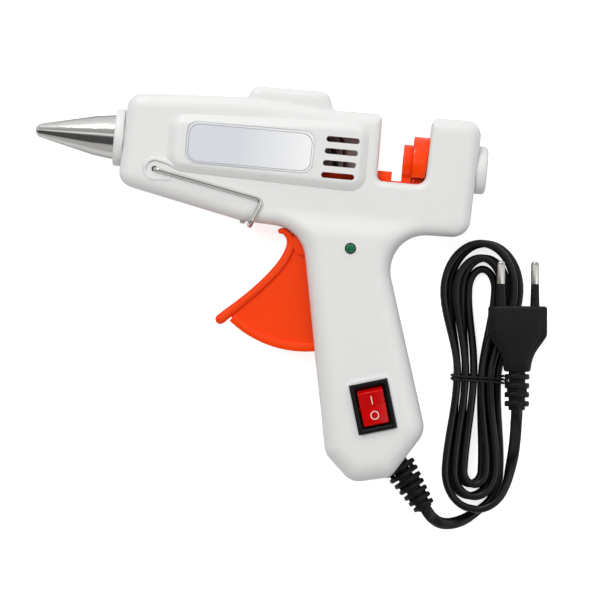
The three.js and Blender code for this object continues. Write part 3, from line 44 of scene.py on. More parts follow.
# Camera: straight above the gun as it lies, far off, and rolled a little against the barrel.
# The photograph holds three pixels to a millimetre.
camera_height = 1.6
photo_middle = Vector((4.4, -48.5, 14)) * mm
photo_span = 200 * mm
photo_roll = math.radians(5.2)

scene = bpy.context.scene
camera_data = bpy.data.cameras.new("photo_camera")
camera_data.sensor_width = 36
camera_data.lens = camera_data.sensor_width * camera_height / photo_span
camera_data.clip_end = 20
camera = bpy.data.objects.new("photo_camera", camera_data)
camera.location = photo_middle + Vector((0, 0, camera_height))
camera.rotation_euler = (0, 0, photo_roll)
scene.collection.objects.link(camera)
scene.camera = camera

# Light: a pale room, one broad lamp above the nozzle's side, a weaker one across from it, and a
# low one beyond the ridge that only puts the bright streaks on glossy pieces. The table is white
# where the camera sees it, and keeps the soft shadow under the gun.
room_strength = 0.86
key_power = 5.9
fill_power = 2.0
streak_power = 2.6
table_size = 3.0
table_shade = (0.86, 0.86, 0.86, 1)
table_roughness = 0.9
table_glow = 0.78
# the room from the grip's side, through straight above, to the ridge's side: dark drapes and panes
room_panes = [(0.00, 0.62), (0.13, 0.60), (0.165, 0.09), (0.44, 0.10), (0.505, 0.24), (0.53, 1.15)]
room_panes += [(0.60, 1.15), (0.63, 0.42), (0.84, 0.62), (0.88, 1.15), (1.00, 1.15)]


def linked(tree, *links):
    """Joins sockets of a tree, each link as (node, what it gives, next node, what that takes)."""
    for source, gives, target, takes in links:
        tree.links.new(source.outputs[gives], target.inputs[takes])


scene.view_settings.view_transform = "Standard"
room = bpy.data.worlds.new("pale_room")
scene.world = room
room.use_nodes = True
new = room.node_tree.nodes.new
sky = room.node_tree.nodes["Background"]
sky.inputs["Strength"].default_value = room_strength
heading = new("ShaderNodeTexCoord")
split = new("ShaderNodeSeparateXYZ")
spread = new("ShaderNodeMapRange")
spread.inputs["From Min"].default_value = -1
panes = new("ShaderNodeValToRGB")
stops = panes.color_ramp.elements
for place, shade in room_panes[1:-1]:
    stops.new(place).color = (shade, shade, shade, 1)
for stop, (place, shade) in ((stops[0], room_panes[0]), (stops[-1], room_panes[-1])):
    stop.color = (shade, shade, shade, 1)
linked(
    room.node_tree,
    (heading, "Generated", split, "Vector"),
    (split, "Y", spread, "Value"),
    (spread, "Result", panes, "Fac"),
    (panes, "Color", sky, "Color"),
)


def add_lamp(name, place, size, power):
    lamp_data = bpy.data.lights.new(name, "AREA")
    lamp_data.size = size
    lamp_data.energy = power
    lamp = bpy.data.objects.new(name, lamp_data)
    lamp.location = place
    lamp.rotation_euler = (photo_middle - Vector(place)).to_track_quat("-Z", "Y").to_euler()
    scene.collection.objects.link(lamp)
    return lamp


key_lamp = add_lamp("key_lamp", (-0.32, 0.36, 0.97), 0.5, key_power)
key_lamp.visible_glossy = False
add_lamp("fill_lamp", (0.7, -0.3, 0.8), 0.7, fill_power)
streak_lamp = add_lamp("streak_lamp", (-0.36, 0.74, 0.52), 0.3, streak_power)
streak_lamp.visible_diffuse = False

table_mesh = bpy.data.meshes.new("table")
reach = table_size / 2
table_corners = [(-reach, -reach, 0), (reach, -reach, 0), (reach, reach, 0), (-reach, reach, 0)]
table_mesh.from_pydata(table_corners, [], [(0, 1, 2, 3)])
table = bpy.data.objects.new("table", table_mesh)
table.location.z = -0.02 * mm
scene.collection.objects.link(table)

white_table = bpy.data.materials.new("white_table")
white_table.use_nodes = True
nodes = white_table.node_tree.nodes
paint = nodes["Principled BSDF"]
paint.inputs["Base Color"].default_value = table_shade
paint.inputs["Roughness"].default_value = table_roughness
glow = nodes.new("ShaderNodeEmission")
glow.inputs["Strength"].default_value = table_glow
lit = nodes.new("ShaderNodeAddShader")
choice = nodes.new("ShaderNodeMixShader")
ray = nodes.new("ShaderNodeLightPath")
linked(
    white_table.node_tree,
    (paint, 0, lit, 0),
    (glow, 0, lit, 1),
    (ray, "Is Camera Ray", choice, 0),
    (paint, 0, choice, 1),
    (lit, 0, choice, 2),
    (choice, 0, nodes["Material Output"], "Surface"),
)
table_mesh.materials.append(white_table)

# Mains cord: two stranded cores side by side in one black vinyl sheath, drawn as one length.
# It leaves the strain relief flat, drops to the table and turns on edge before the hank.
cord_width = 3.9 * mm
cord_thickness = 2.64 * mm
cord_groove = 0.16
groove_width = 0.22
cord_squareness = 0.75
cord_sides = 24
cord_black = (0.0035, 0.0035, 0.004)
cord_step = 0.6 * mm
merge_distance = 0.0002 * mm
grain_depth = 0.05 * mm
gloss_spread = 0.15
cloud_share = 8


def surface(name, colour, roughness, grain=0.0, grain_scale=900.0, spread=0.05, metallic=0.0, shine=0.5):
    """A finish whose colour and gloss vary a little over the piece, with a fine grain in relief."""
    made = bpy.data.materials.new(name)
    made.use_nodes = True
    tree = made.node_tree
    new = tree.nodes.new
    shader = tree.nodes["Principled BSDF"]
    shader.inputs["Metallic"].default_value = metallic
    shader.inputs["Specular IOR Level"].default_value = shine
    place = new("ShaderNodeTexCoord")
    clouds = new("ShaderNodeTexNoise")
    clouds.inputs["Scale"].default_value = grain_scale / cloud_share
    fine = new("ShaderNodeTexNoise")
    fine.inputs["Scale"].default_value = grain_scale
    tint = new("ShaderNodeMix")
    tint.data_type = "RGBA"
    tint.inputs[6].default_value = (*[channel * (1 - spread) for channel in colour], 1)
    tint.inputs[7].default_value = (*[min(channel * (1 + spread), 1) for channel in colour], 1)
    gloss = new("ShaderNodeMapRange")
    gloss.inputs["To Min"].default_value = roughness * (1 - gloss_spread)
    gloss.inputs["To Max"].default_value = min(roughness * (1 + gloss_spread), 1)
    linked(
        tree,
        (place, "Object", clouds, "Vector"),
        (place, "Object", fine, "Vector"),
        (clouds, "Fac", tint, 0),
        (tint, 2, shader, "Base Color"),
        (fine, "Fac", gloss, "Value"),
        (gloss, "Result", shader, "Roughness"),
    )
    if grain:
        relief = new("ShaderNodeBump")
        relief.inputs["Strength"].default_value = grain
        relief.inputs["Distance"].default_value = grain_depth
        linked(tree, (fine, "Fac", relief, "Height"), (relief, "Normal", shader, "Normal"))
    return made


def mesh_object(name, verts, faces):
    mesh = bpy.data.meshes.new(name)
    mesh.from_pydata([tuple(vert) for vert in verts], [], faces)
    made = bpy.data.objects.new(name, mesh)
    scene.collection.objects.link(made)
    return made


def finish_piece(made, finish, slot, *solids, body="body", corner=35):
    """Turns a piece's faces outwards, marks its corners, and gives its finish, body and solids."""
    shape = bmesh.new()
    shape.from_mesh(made.data)
    bmesh.ops.remove_doubles(shape, verts=shape.verts, dist=merge_distance)
    bmesh.ops.recalc_face_normals(shape, faces=shape.faces)
    for face in shape.faces:
        face.smooth = True
    for edge in shape.edges:
        edge.smooth = edge.calc_face_angle(0) < math.radians(corner)
    shape.to_mesh(made.data)
    shape.free()
    made.data.materials.clear()
    made.data.materials.append(finish)
    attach(made, body)
    if solids:
        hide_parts(*solids)
    return made


def loft(name, rings):
    """A closed skin over rings with as many points each, capped at both ends."""
    sides = len(rings[0])
    verts = [point for ring in rings for point in ring]
    faces = [tuple(reversed(range(sides))), tuple(range(len(verts) - sides, len(verts)))]
    for row in range(len(rings) - 1):
        for side in range(sides):
            after = (side + 1) % sides
            low, high = row * sides, (row + 1) * sides
            faces.append((low + side, low + after, high + after, high + side))
    return mesh_object(name, verts, faces)


def blend_points(a, b, low, high, place):
    return (a * (high - place) + b * (place - low)) / (high - low)


def route_through(points, spacing):
    """Even points on the smooth curve through chosen points, its pace set by their distances."""
    points = [Vector(point) for point in points]
    spine = [points[0] * 2 - points[1], *points, points[-1] * 2 - points[-2]]
    line = []
    for p0, p1, p2, p3 in zip(spine, spine[1:], spine[2:], spine[3:]):
        t1 = (p1 - p0).length ** 0.5
        t2 = t1 + (p2 - p1).length ** 0.5
        t3 = t2 + (p3 - p2).length ** 0.5
        pieces = max(4, round((p2 - p1).length / spacing * 2))
        for i in range(pieces):
            t = t1 + (t2 - t1) * i / pieces
            a1 = blend_points(p0, p1, 0, t1, t)
            a2 = blend_points(p1, p2, t1, t2, t)
            a3 = blend_points(p2, p3, t2, t3, t)
            b1 = blend_points(a1, a2, 0, t2, t)
            b2 = blend_points(a2, a3, t1, t3, t)
            line.append(blend_points(b1, b2, t1, t2, t))
    line.append(points[-1])
    passed = np.cumsum([0.0] + [(b - a).length for a, b in zip(line, line[1:])])
    count = max(2, round(passed[-1] / spacing))
    even = np.linspace(0, passed[-1], count + 1)
    flat = np.array([tuple(point) for point in line])
    return [Vector(row) for row in np.stack([np.interp(even, passed, flat[:, k]) for k in range(3)], 1)]


def way_at(line, i):
    """The direction of a line at one of its points."""
    return (line[min(i + 1, len(line) - 1)] - line[max(i - 1, 0)]).normalized()


def smoothly(value, low=0.0, high=1.0):
    share = min(max((value - low) / (high - low), 0), 1)
    return share * share * (3 - 2 * share)


def cord_ring(middle, way, turned):
    """The cord's section: flat sides with a shallow groove between the cores, and round edges."""
    level = way.cross(Vector((0, 0, 1))).normalized()
    risen = level.cross(way)
    broad = level * math.cos(turned) + risen * math.sin(turned)
    thin = way.cross(broad)
    ring = []
    for i in range(cord_sides):
        angle = math.tau * (i + 0.5) / cord_sides
        wide = math.copysign(abs(math.cos(angle)) ** cord_squareness, math.cos(angle))
        deep = math.copysign(abs(math.sin(angle)) ** cord_squareness, math.sin(angle))
        deep *= 1 - cord_groove * math.exp(-((wide / groove_width) ** 2))
        ring.append(middle + broad * wide * cord_width / 2 + thin * deep * cord_thickness / 2)
    return ring


def quarter_turn(line):
    """How far the cord has turned on edge at each point of a lead."""
    return [smoothly(i / (len(line) - 1), 0.25, 0.75) * math.pi / 2 for i in range(len(line))]


black_sheath = surface("black_sheath", cord_black, 0.33, grain=0.1, grain_scale=1600, shine=0.4)

relief_angle = math.radians(-52.6)
relief_way = Vector((math.cos(relief_angle), math.sin(relief_angle), 0))
relief_root = Vector((41.95, -100.3, 13.5)) * mm
relief_end = 16.9 * mm
gap = 0.3 * mm
cord_straight = 1.95 * mm

hank_runs = 10
hank_waist = Vector((66.0, -69.2, 0)) * mm
hank_turn = math.radians(2.23)
waist_step = 2.72 * mm
waist_half = 3 * waist_step
top_bulge = {"run": 29.5 * mm, "half": 12.8 * mm, "step": 4.2 * mm, "reach": 18.1 * mm, "rise": 4.9 * mm}
low_bulge = {"run": 31 * mm, "half": 9.2 * mm, "step": 3.1 * mm, "reach": 12.65 * mm, "rise": 4.1 * mm}
layer_rise = 4.42 * mm
arc_share = 0.125
climb_share = 0.165
tie_wire = 0.45 * mm
tie_lift = 2 * tie_wire + gap
tie_lift_run = 16.5 * mm
cord_low = cord_width / 2 + 0.05 * mm


def spun(x, y, turn):
    """A place turned about the origin."""
    cosine, sine = math.cos(turn), math.sin(turn)
    return x * cosine - y * sine, x * sine + y * cosine


def run_inset(run):
    """How far in a run lies: in over the first layer, out again over the second."""
    inset = (run + 0.5) / 2
    return min(inset, (hank_runs + 1) / 2 - inset)


def hank_point(turns):
    """Where the cord's middle lies after so many turns from the bottom of the hank."""
    share = turns - math.floor(turns)
    rising = share < 0.5
    side = share if rising else 1 - share
    passed = min(max((side - arc_share) / (0.5 - 2 * arc_share), 0), 1)
    along = -low_bulge["run"] + (low_bulge["run"] + top_bulge["run"]) * passed
    end = top_bulge if along > 0 else low_bulge
    swell = smoothly(abs(along) / end["run"])
    place = 2 * turns - 0.5
    run = math.floor(place)
    moved = smoothly(place - run, 2 * arc_share, 1 - 2 * arc_share)
    insets = [run_inset(n) - (swell / 2 if n >= hank_runs / 2 else 0) for n in (run, run + 1)]
    inset = insets[0] + (insets[1] - insets[0]) * moved
    step = waist_step + (end["step"] - waist_step) * swell
    half = waist_half + (end["half"] + end["step"] / 4 - waist_half) * swell - inset * step
    bend = 0
    if side < arc_share:
        bend = -(1 - side / arc_share) * math.pi / 2
    if side > 0.5 - arc_share:
        bend = (side - 0.5 + arc_share) / arc_share * math.pi / 2
    across = (1 if rising else -1) * half * math.cos(bend) - (1 - swell) * waist_step / 4
    beyond = (end["reach"] - inset * end["rise"]) * math.sin(bend)
    climb_from = hank_runs / 4 + arc_share
    climb = smoothly(turns, climb_from, climb_from + climb_share)
    lift = tie_lift * (1 - smoothly(abs(along) / tie_lift_run))
    up = cord_low + lift + climb * layer_rise
    return hank_waist + Vector((*spun(across, along + beyond, hank_turn), up))


def lead_line(start, start_way, route, end_way, end):
    """The middle line of a lead that leaves and arrives straight."""
    places = [Vector(place) * mm for place in route]
    first, final = start + start_way * cord_straight, end - end_way * cord_straight
    return route_through([start, first, *places, final, end], cord_step)


little_turn = 0.002
hank_from = arc_share
hank_to = hank_runs / 2
hank_start = hank_point(hank_from)
hank_start_way = (hank_point(hank_from + little_turn) - hank_start).normalized()
gun_lead_start = relief_root + relief_way * (relief_end + gap)
gun_lead_end = hank_start - hank_start_way * gap
gun_lead_route = [(54.9, -116.8, 12.9), (57.6, -118.3, 10.6), (61.4, -118.4, 7), (65.4, -117, 4)]
gun_lead_route += [(69.4, -114.2, 2.6), (73.4, -110.2, 2.1), (75.9, -105.4, 2.05)]
gun_lead_line = lead_line(gun_lead_start, relief_way, gun_lead_route, hank_start_way, gun_lead_end)

# the hank: five loops to and fro that lie two deep, spread at both ends and drawn in at the waist
hank_steps = 96
hank_line = [
    hank_point(hank_from + i / hank_steps) for i in range(round((hank_to - hank_from) * hank_steps) + 1)
]

# from the hank to the plug: over the other lead, down to the table and up into the plug
plug_middle = Vector((77.74, -54.82, 14.07)) * mm
plug_turn = math.radians(4.65)
plug_length = 21.9 * mm
tail_length = 12.2 * mm
plug_across = Vector((math.cos(plug_turn), math.sin(plug_turn), 0))
plug_up = Vector((-math.sin(plug_turn), math.cos(plug_turn), 0))


def on_plug(across, along, rise):
    return plug_middle + plug_across * across + plug_up * along + Vector((0, 0, rise))


hank_end = hank_point(hank_to)
hank_end_way = (hank_end - hank_point(hank_to - little_turn)).normalized()
plug_lead_start = hank_end + hank_end_way * gap
plug_lead_end = on_plug(0, -plug_length / 2 - tail_length - gap, 0)
plug_lead_route = [(73.8, -111.5, 6.6), (77, -108.3, 6.6), (78.8, -103.8, 6.4), (79.6, -98.8, 6.2)]
plug_lead_route += [(80.1, -94.2, 7), (80.2, -90, 9), (80.1, -86, 11.3), (79.9, -82.8, 13.1)]
plug_lead_line = lead_line(plug_lead_start, hank_end_way, plug_lead_route, plug_up, plug_lead_end)
cord_line = gun_lead_line + hank_line + plug_lead_line
cord_turns = quarter_turn(gun_lead_line) + [math.pi / 2] * len(hank_line) + quarter_turn(plug_lead_line)[::-1]
cord_rings = [cord_ring(spot, way_at(cord_line, i), cord_turns[i]) for i, spot in enumerate(cord_line)]
mains_cord = loft("mains_cord", cord_rings)
finish_piece(mains_cord, black_sheath, "black_pvc", "cord_lead", "cord_hank", "plug_lead", corner=60)

# Left and right housing shells: white moulded plastic two millimetres thick, joined at a seam in
# the middle plane. The barrel's sides carry a raised panel, a ridge stands on its top, and the
# grip swells below. Ribs and screw bosses inside hold the works.
gun_middle = 13.5
wall = 2.0
seam = 0.12
seam_edge = 0.25
barrel_half = 11.4
barrel_edge = 4.5
grip_half = 13.5
grip_edge = 6.4
grip_line = -18.6
grip_swell = 8.0
panel_rise = 2.1
panel_run = 3.1
ridge_half = 9.0
ridge_edge = 3.0
window_edge = 2.4
switch_place = (31.624, -81.446)
switch_turn = math.radians(16.7)
switch_border = 0.32
border_outside = 1.9
border_slope = 1.3
ridge_blend = 0.8
border_rings = [-0.9, -0.2, 0.35, 0.7, 1.0, 1.35, 1.7, 2.1]
outline_step = 0.8
skin_step = 1.1
lining_step = 2.4
sliver = 0.02

body_corners = [
    (-58.4, 15.0, 5.2),
    (-59.35, -15.2, 4.8),
    (-17.0, -23.9, 10),
    (2.95, -24.6, 12),
    (17.3, -98.5, 6),
    (26.9, -107.3, 6),
    (39.7, -104.3, 4.2),
    (49.8, -88.2, 7.5),
    (29.1, -23.6, 12),
    (58.2, -22.7, 5.6),
    (59.5, 16.0, 4.9),
    (10.0, 15.3, 5.4),
    (-19.0, 17.1, 5.4),
]
panel_corners = [(-43.8, 9.2, 5.4), (-43.8, -9.7, 5.4), (22.4, -11.3, 5.4), (22.4, 12.2, 5.4)]
ridge_corners = [(-18.3, 21.0, 3.5), (-19.5, 7.7, 3.5), (12.5, 7.7, 3.5), (7.7, 21.2, 3.5)]
window_corners = [(26.2, -6.8, 2), (42.2, -6.8, 3.2), (43.2, 32, 2), (26.2, 32, 2)]
edge_corners = [
    *body_corners[:11],
    (43.0, 15.77, 2.2),
    *window_corners[1::-1],
    (26.2, 15.5, 2.2),
    (9.8, 15.3, 2.0),
    ridge_corners[3],
    ridge_corners[0],
    (-18.66, 17.05, 0.7),
]
rounding_rings = [0.12, 0.3, 0.6, 1.0, 1.6, 2.3, 3.1, 4.0, 5.0, 6.1]
window_rings = [0.1, 0.3, 0.65, 1.1, 1.7, 2.4]
panel_rings = [-0.35, 0.0, 0.2, 0.5, 0.9, 1.4, 2.0, 2.6, 3.0]


def outline_through(corners, spacing):
    """Points a spacing apart along an outline whose corners (x, y, radius) are rounded."""
    line = []
    for i, (x, y, radius) in enumerate(corners):
        here = np.array((x, y))
        back = np.array(corners[i - 1][:2]) - here
        on = np.array(corners[(i + 1) % len(corners)][:2]) - here
        back, on = back / np.linalg.norm(back), on / np.linalg.norm(on)
        half = math.acos(np.clip(back @ on, -1, 1)) / 2
        middle = (back + on) / np.linalg.norm(back + on)
        centre = here + middle * radius / math.sin(half)
        start = here + back * radius / math.tan(half) - centre
        turn = math.copysign(math.pi - 2 * half, on[0] * back[1] - on[1] * back[0])
        steps = max(3, round(abs(turn) * radius / spacing), round(abs(turn) / 0.3))
        line += [centre + spun(*start, turn * step / steps) for step in range(steps + 1)]
    filled = []
    for a, b in zip(line, line[1:] + line[:1]):
        pieces = max(1, round(np.linalg.norm(b - a) / spacing))
        filled += [a + (b - a) * k / pieces for k in range(pieces)]
    return np.array(filled)


def depth_inside(points, line):
    """How far each point lies inside an outline; outside it the number is below zero."""
    a, b = line, np.roll(line, -1, axis=0)
    run = b - a
    slope = run[:, 0] / np.where(run[:, 1] == 0, 1, run[:, 1])
    depths = []
    for some in np.array_split(points, max(1, len(points) // 1200)):
        away = some[:, None] - a
        share = np.clip((away * run).sum(2) / (run**2).sum(1), 0, 1)
        nearest = np.linalg.norm(away - share[..., None] * run, axis=2).min(1)
        passes = (a[:, 1] <= some[:, None, 1]) != (b[:, 1] <= some[:, None, 1])
        left_of = some[:, None, 0] < a[:, 0] + away[..., 1] * slope
        within = (passes & left_of).sum(1) % 2 == 1
        depths.append(np.where(within, nearest, -nearest))
    return np.concatenate(depths)


def drawn_in(line, inset):
    """An outline moved inwards, without the points that its corners swallow."""
    way = np.roll(line, -1, axis=0) - np.roll(line, 1, axis=0)
    way /= np.linalg.norm(way, axis=1)[:, None]
    moved = line + np.stack([-way[:, 1], way[:, 0]], 1) * inset
    return moved[np.abs(depth_inside(moved, line)) > abs(inset) - 0.02]


def thinned(kept, added, apart):
    """The kept points and those of the added ones that stand apart from them and each other."""
    cells = {}
    for point in kept:
        cells.setdefault((math.floor(point[0]), math.floor(point[1])), []).append(point)
    result = list(kept)
    for point in added:
        column, row = math.floor(point[0]), math.floor(point[1])
        near = [q for i in (-1, 0, 1) for j in (-1, 0, 1) for q in cells.get((column + i, row + j), ())]
        if all((point[0] - q[0]) ** 2 + (point[1] - q[1]) ** 2 >= apart**2 for q in near):
            result.append(point)
            cells.setdefault((column, row), []).append(point)
    return result


def edge_fall(depth, radius):
    """How far a face has fallen at a depth inside its rounded edge."""
    left = np.clip(radius - depth, 0, radius)
    return radius - np.sqrt(radius**2 - left**2) + 3 * np.clip(-depth, 0, None)


def eased(value):
    """A soft step from nought to one."""
    share = np.clip(value, 0, 1)
    return share * share * (3 - 2 * share)


def turned_box(place, width, length, corner, turn):
    """A rounded rectangle's outline, turned about its middle."""
    w, h = width / 2, length / 2
    line = outline_through([(-w, -h, corner), (w, -h, corner), (w, h, corner), (-w, h, corner)], outline_step)
    return np.stack(spun(line[:, 0], line[:, 1], turn), 1) + np.array(place)


def shell_height(points):
    """The height of a shell's outer face above the seam."""
    swell = eased((grip_line - points[:, 1]) / grip_swell)
    edge = barrel_edge + (grip_edge - barrel_edge) * swell
    fall = edge_fall(depth_inside(points, body_line), edge)
    round_window = edge_fall(np.clip(-depth_inside(points, window_line), 0, None), window_edge)
    flank = barrel_half + (grip_half - barrel_half) * swell - np.hypot(fall, round_window)
    ridge = ridge_half - edge_fall(depth_inside(points, ridge_line), ridge_edge)
    soft = np.clip(1 - np.abs(flank - ridge) / ridge_blend, 0, 1)
    whole = np.maximum(flank, ridge) + 0.2 * soft**2
    rise = np.clip(depth_inside(points, panel_line) / panel_run, 0, 1)
    return whole + panel_rise * (0.62 * eased(rise) + 0.38 * np.sqrt(1 - (1 - rise) ** 2))


def filled_outline(line, points):
    """Triangles between an outline and the points inside it."""
    spots = np.array(thinned(list(line), points[depth_inside(points, line) > 0.1], 0.1))
    ring = [(i, (i + 1) % len(line)) for i in range(len(line))]
    faces = delaunay_2d_cdt([Vector(spot) for spot in spots], ring, [], 0, 1e-5)[2]
    middles = spots[np.array(faces)].mean(1)
    return spots, [face for face, depth in zip(faces, depth_inside(middles, line)) if depth > sliver]


def hexed(step):
    """A net of evenly spaced points that covers the gun."""
    rows = np.arange(-112, 24, step * 0.866)
    columns = np.arange(-62, 62, step)
    return np.array([(x + (k % 2) * step / 2, y) for k, y in enumerate(rows) for x in columns])


body_line = outline_through(body_corners, outline_step)
panel_line = outline_through(panel_corners, outline_step)
ridge_line = outline_through(ridge_corners, outline_step)
window_line = outline_through(window_corners, outline_step)
edge_line = outline_through(edge_corners, outline_step)
switch_line = turned_box(switch_place, 13.0, 16.8, 1.4, switch_turn)


def skin_points():
    """Points in rings along every edge of the outer face, and a net between them."""
    spots = []
    for ring in rounding_rings:
        spots += list(drawn_in(edge_line, ring))
    for line, rings in ((panel_line, panel_rings), (window_line, window_rings)):
        for ring in rings:
            spots = thinned(spots, drawn_in(line, -ring if line is window_line else ring), 0.1)
    for ring in border_rings:
        spots = thinned(spots, drawn_in(switch_line, -ring), 0.15)
    for line in (body_line, ridge_line):
        for ring in (0.0, *rounding_rings[:7]):
            spots = thinned(spots, drawn_in(line, ring), 0.25)
    spots = thinned(spots, hexed(skin_step), skin_step * 0.62)
    return np.array(spots)


def layer(points2d, heights, side):
    """Points of the gun at their heights above or below the seam."""
    return [Vector((x, y, gun_middle + side * z)) * mm for (x, y), z in zip(points2d, heights)]


def add_faces(verts, faces, new_verts, new_faces):
    """Adds a part to a mesh and tells where its vertices start."""
    start = len(verts)
    verts += new_verts
    faces += [tuple(start + i for i in face) for face in new_faces]
    return start


def band(low, high, count):
    """The faces between two rings of vertices."""
    return [(low + i, low + (i + 1) % count, high + (i + 1) % count, high + i) for i in range(count)]


def shell_wall(name, side):
    """One shell's closed wall: outer face, rim at the seam and lining."""
    outer, outer_faces = skin_net
    inner, inner_faces = lining_net
    n_edge, n_lining = len(edge_line), len(lining_line)
    verts, faces = [], []
    skin_heights = outer_heights + switch_lip if side > 0 else outer_heights
    add_faces(verts, faces, layer(outer, skin_heights, side), outer_faces)
    levels = [[outer_heights[i] * share + seam * (1 - share) for i in range(n_edge)] for share in (0.7, 0.4)]
    levels.append([seam + seam_edge] * n_edge)
    above = 0
    for heights in levels:
        below = add_faces(verts, faces, layer(edge_line, heights, side), [])
        faces += band(above, below, n_edge)
        above = below
    rim_outer = add_faces(verts, faces, layer(rim_line, [seam] * n_edge, side), [])
    faces += band(above, rim_outer, n_edge)
    lining = add_faces(verts, faces, layer(inner, lining_heights, side), inner_faces)
    rim_inner = add_faces(verts, faces, layer(lining_line, [seam] * n_lining, side), [])
    faces += band(lining, rim_inner, n_lining)
    for face in rim_faces:
        faces.append(tuple(rim_outer + i if i < n_edge else rim_inner + i - n_edge for i in face))
    return mesh_object(name, verts, faces)


skin_net = filled_outline(edge_line, skin_points())
outer_heights = shell_height(skin_net[0])
switch_lip = switch_border * eased((border_outside + depth_inside(skin_net[0], switch_line)) / border_slope)
lining_line = drawn_in(edge_line, wall)
lining_net = filled_outline(lining_line, hexed(lining_step))
lining_heights = shell_height(lining_net[0]) - wall
edge_way = np.roll(edge_line, -1, axis=0) - np.roll(edge_line, 1, axis=0)
edge_way /= np.linalg.norm(edge_way, axis=1)[:, None]
rim_line = edge_line + np.stack([-edge_way[:, 1], edge_way[:, 0]], 1) * seam_edge * 0.6
n_rim, n_inner = len(rim_line), len(lining_line)
rim_rings = [(i, (i + 1) % n_rim) for i in range(n_rim)]
rim_rings += [(n_rim + i, n_rim + (i + 1) % n_inner) for i in range(n_inner)]
rim_spots = [Vector(spot) for spot in (*rim_line, *lining_line)]
rim_faces = delaunay_2d_cdt(rim_spots, rim_rings, [], 0, 1e-5)[2]
rim_middles = np.array([tuple(spot) for spot in rim_spots])[np.array(rim_faces)].mean(1)
on_rim = (depth_inside(rim_middles, rim_line) > sliver) & (depth_inside(rim_middles, lining_line) < -sliver)
rim_faces = [face for face, kept in zip(rim_faces, on_rim) if kept]

# Openings in the shells, cut through the moulded wall: the feed's ways, the nozzle's mouth, the
# trigger's slot, the cord's hole and the stand's, and the seats of lamp, switch, label and screws.
round_sides = 48
core_inset = 1.7
trigger_pivot = (4.602, -29.094)
trigger_slot = 6.3
stand_hook = (-47.495, -9.6)
lug_top = 12.35
lug_drop = 0.55
lamp_place = (19.47, -30.02)
label_place = (-16.64, 0.26)
label_size = (42.0, 13.7)
label_corner = 3.5
label_recess = 0.5
vent_places = [(13.8 - 0.24 * i, 5.45 - 4 * i) for i in range(4)]
vent_size = (11.0, 1.9)
vent_corner = 0.94
vent_floor = 8.2
screw_places = [(-53.5, -10.8), (-28.0, -15.0), (21.0, 10.6), (51.9, -15.0), (34.5, -57.0), (24.0, -98.9)]
screw_hole = 2.6
screw_sink = 3.0


def prism(name, line, low, high):
    """A closed block over an outline, from low to high about the seam."""
    count = len(line)
    verts = layer(line, [low] * count, 1) + layer(line, [high] * count, 1)
    faces = band(0, count, count) + [tuple(range(count))[::-1], tuple(range(count, 2 * count))]
    return mesh_object(name, verts, faces)


def rings_about(stations, way, centre, sides, across=None):
    """Rings of points about a line, one for each (along, radius) station in millimetres."""
    way = Vector(way).normalized()
    across = way.orthogonal().normalized() if across is None else across
    other = way.cross(across)
    angles = [math.tau * i / sides for i in range(sides)]
    rings = []
    for along, radius in stations:
        spokes = [across * math.cos(a) * radius + other * math.sin(a) * radius for a in angles]
        rings.append([(centre + way * along + spoke) * mm for spoke in spokes])
    return rings


def bar(name, radius, low, high, way, place):
    """A closed round bar along a direction through a place of the gun."""
    centre = Vector((*place[:2], gun_middle + (place[2] if len(place) > 2 else 0)))
    return loft(name, rings_about([(low, radius), (high, radius)], way, centre, round_sides))


def ring_points(radius, start, end, count, centre):
    """Points of an arc, from one angle to another."""
    angles = np.radians(np.linspace(start, end, count))
    return np.stack([centre[0] + radius * np.cos(angles), centre[1] + radius * np.sin(angles)], 1)


def oriented(made, merge=0.0):
    """Turns a piece's faces outwards, and merges its points that lie within a distance."""
    shape = bmesh.new()
    shape.from_mesh(made.data)
    if merge:
        bmesh.ops.remove_doubles(shape, verts=shape.verts, dist=merge)
    bmesh.ops.recalc_face_normals(shape, faces=shape.faces)
    shape.to_mesh(made.data)
    shape.free()
    return made


def merged_copy(name):
    """A solid's own copy with its loose triangles joined."""
    copy = bpy.data.objects.new(name + "_solid", bpy.data.objects[name].data.copy())
    scene.collection.objects.link(copy)
    return oriented(copy, merge_distance)


def settled(made):
    """Makes what a piece's modifiers draw its plain mesh."""
    drawn = bpy.data.meshes.new_from_object(made.evaluated_get(bpy.context.evaluated_depsgraph_get()))
    made.modifiers.clear()
    made.data = drawn
    return made


def worked(base, steps):
    """A piece after joins and cuts; the tools are used up."""
    for kind, tool in steps:
        change = base.modifiers.new("step", "BOOLEAN")
        change.operation = kind
        change.solver = "MANIFOLD"
        change.object = tool
    settled(base)
    for kind, tool in steps:
        bpy.data.objects.remove(tool)
    return base


def slot_outline(start, end, radius, count):
    """A sector about the trigger's pivot."""
    return np.concatenate([[trigger_pivot], ring_points(radius, start, end, count, trigger_pivot)])


def hook_way(side):
    """The hole of one of the stand's hooks."""
    return bar("hook_way", 1.0, *sorted((side * 8.1, side * 20)), (0, 0, 1), stand_hook)


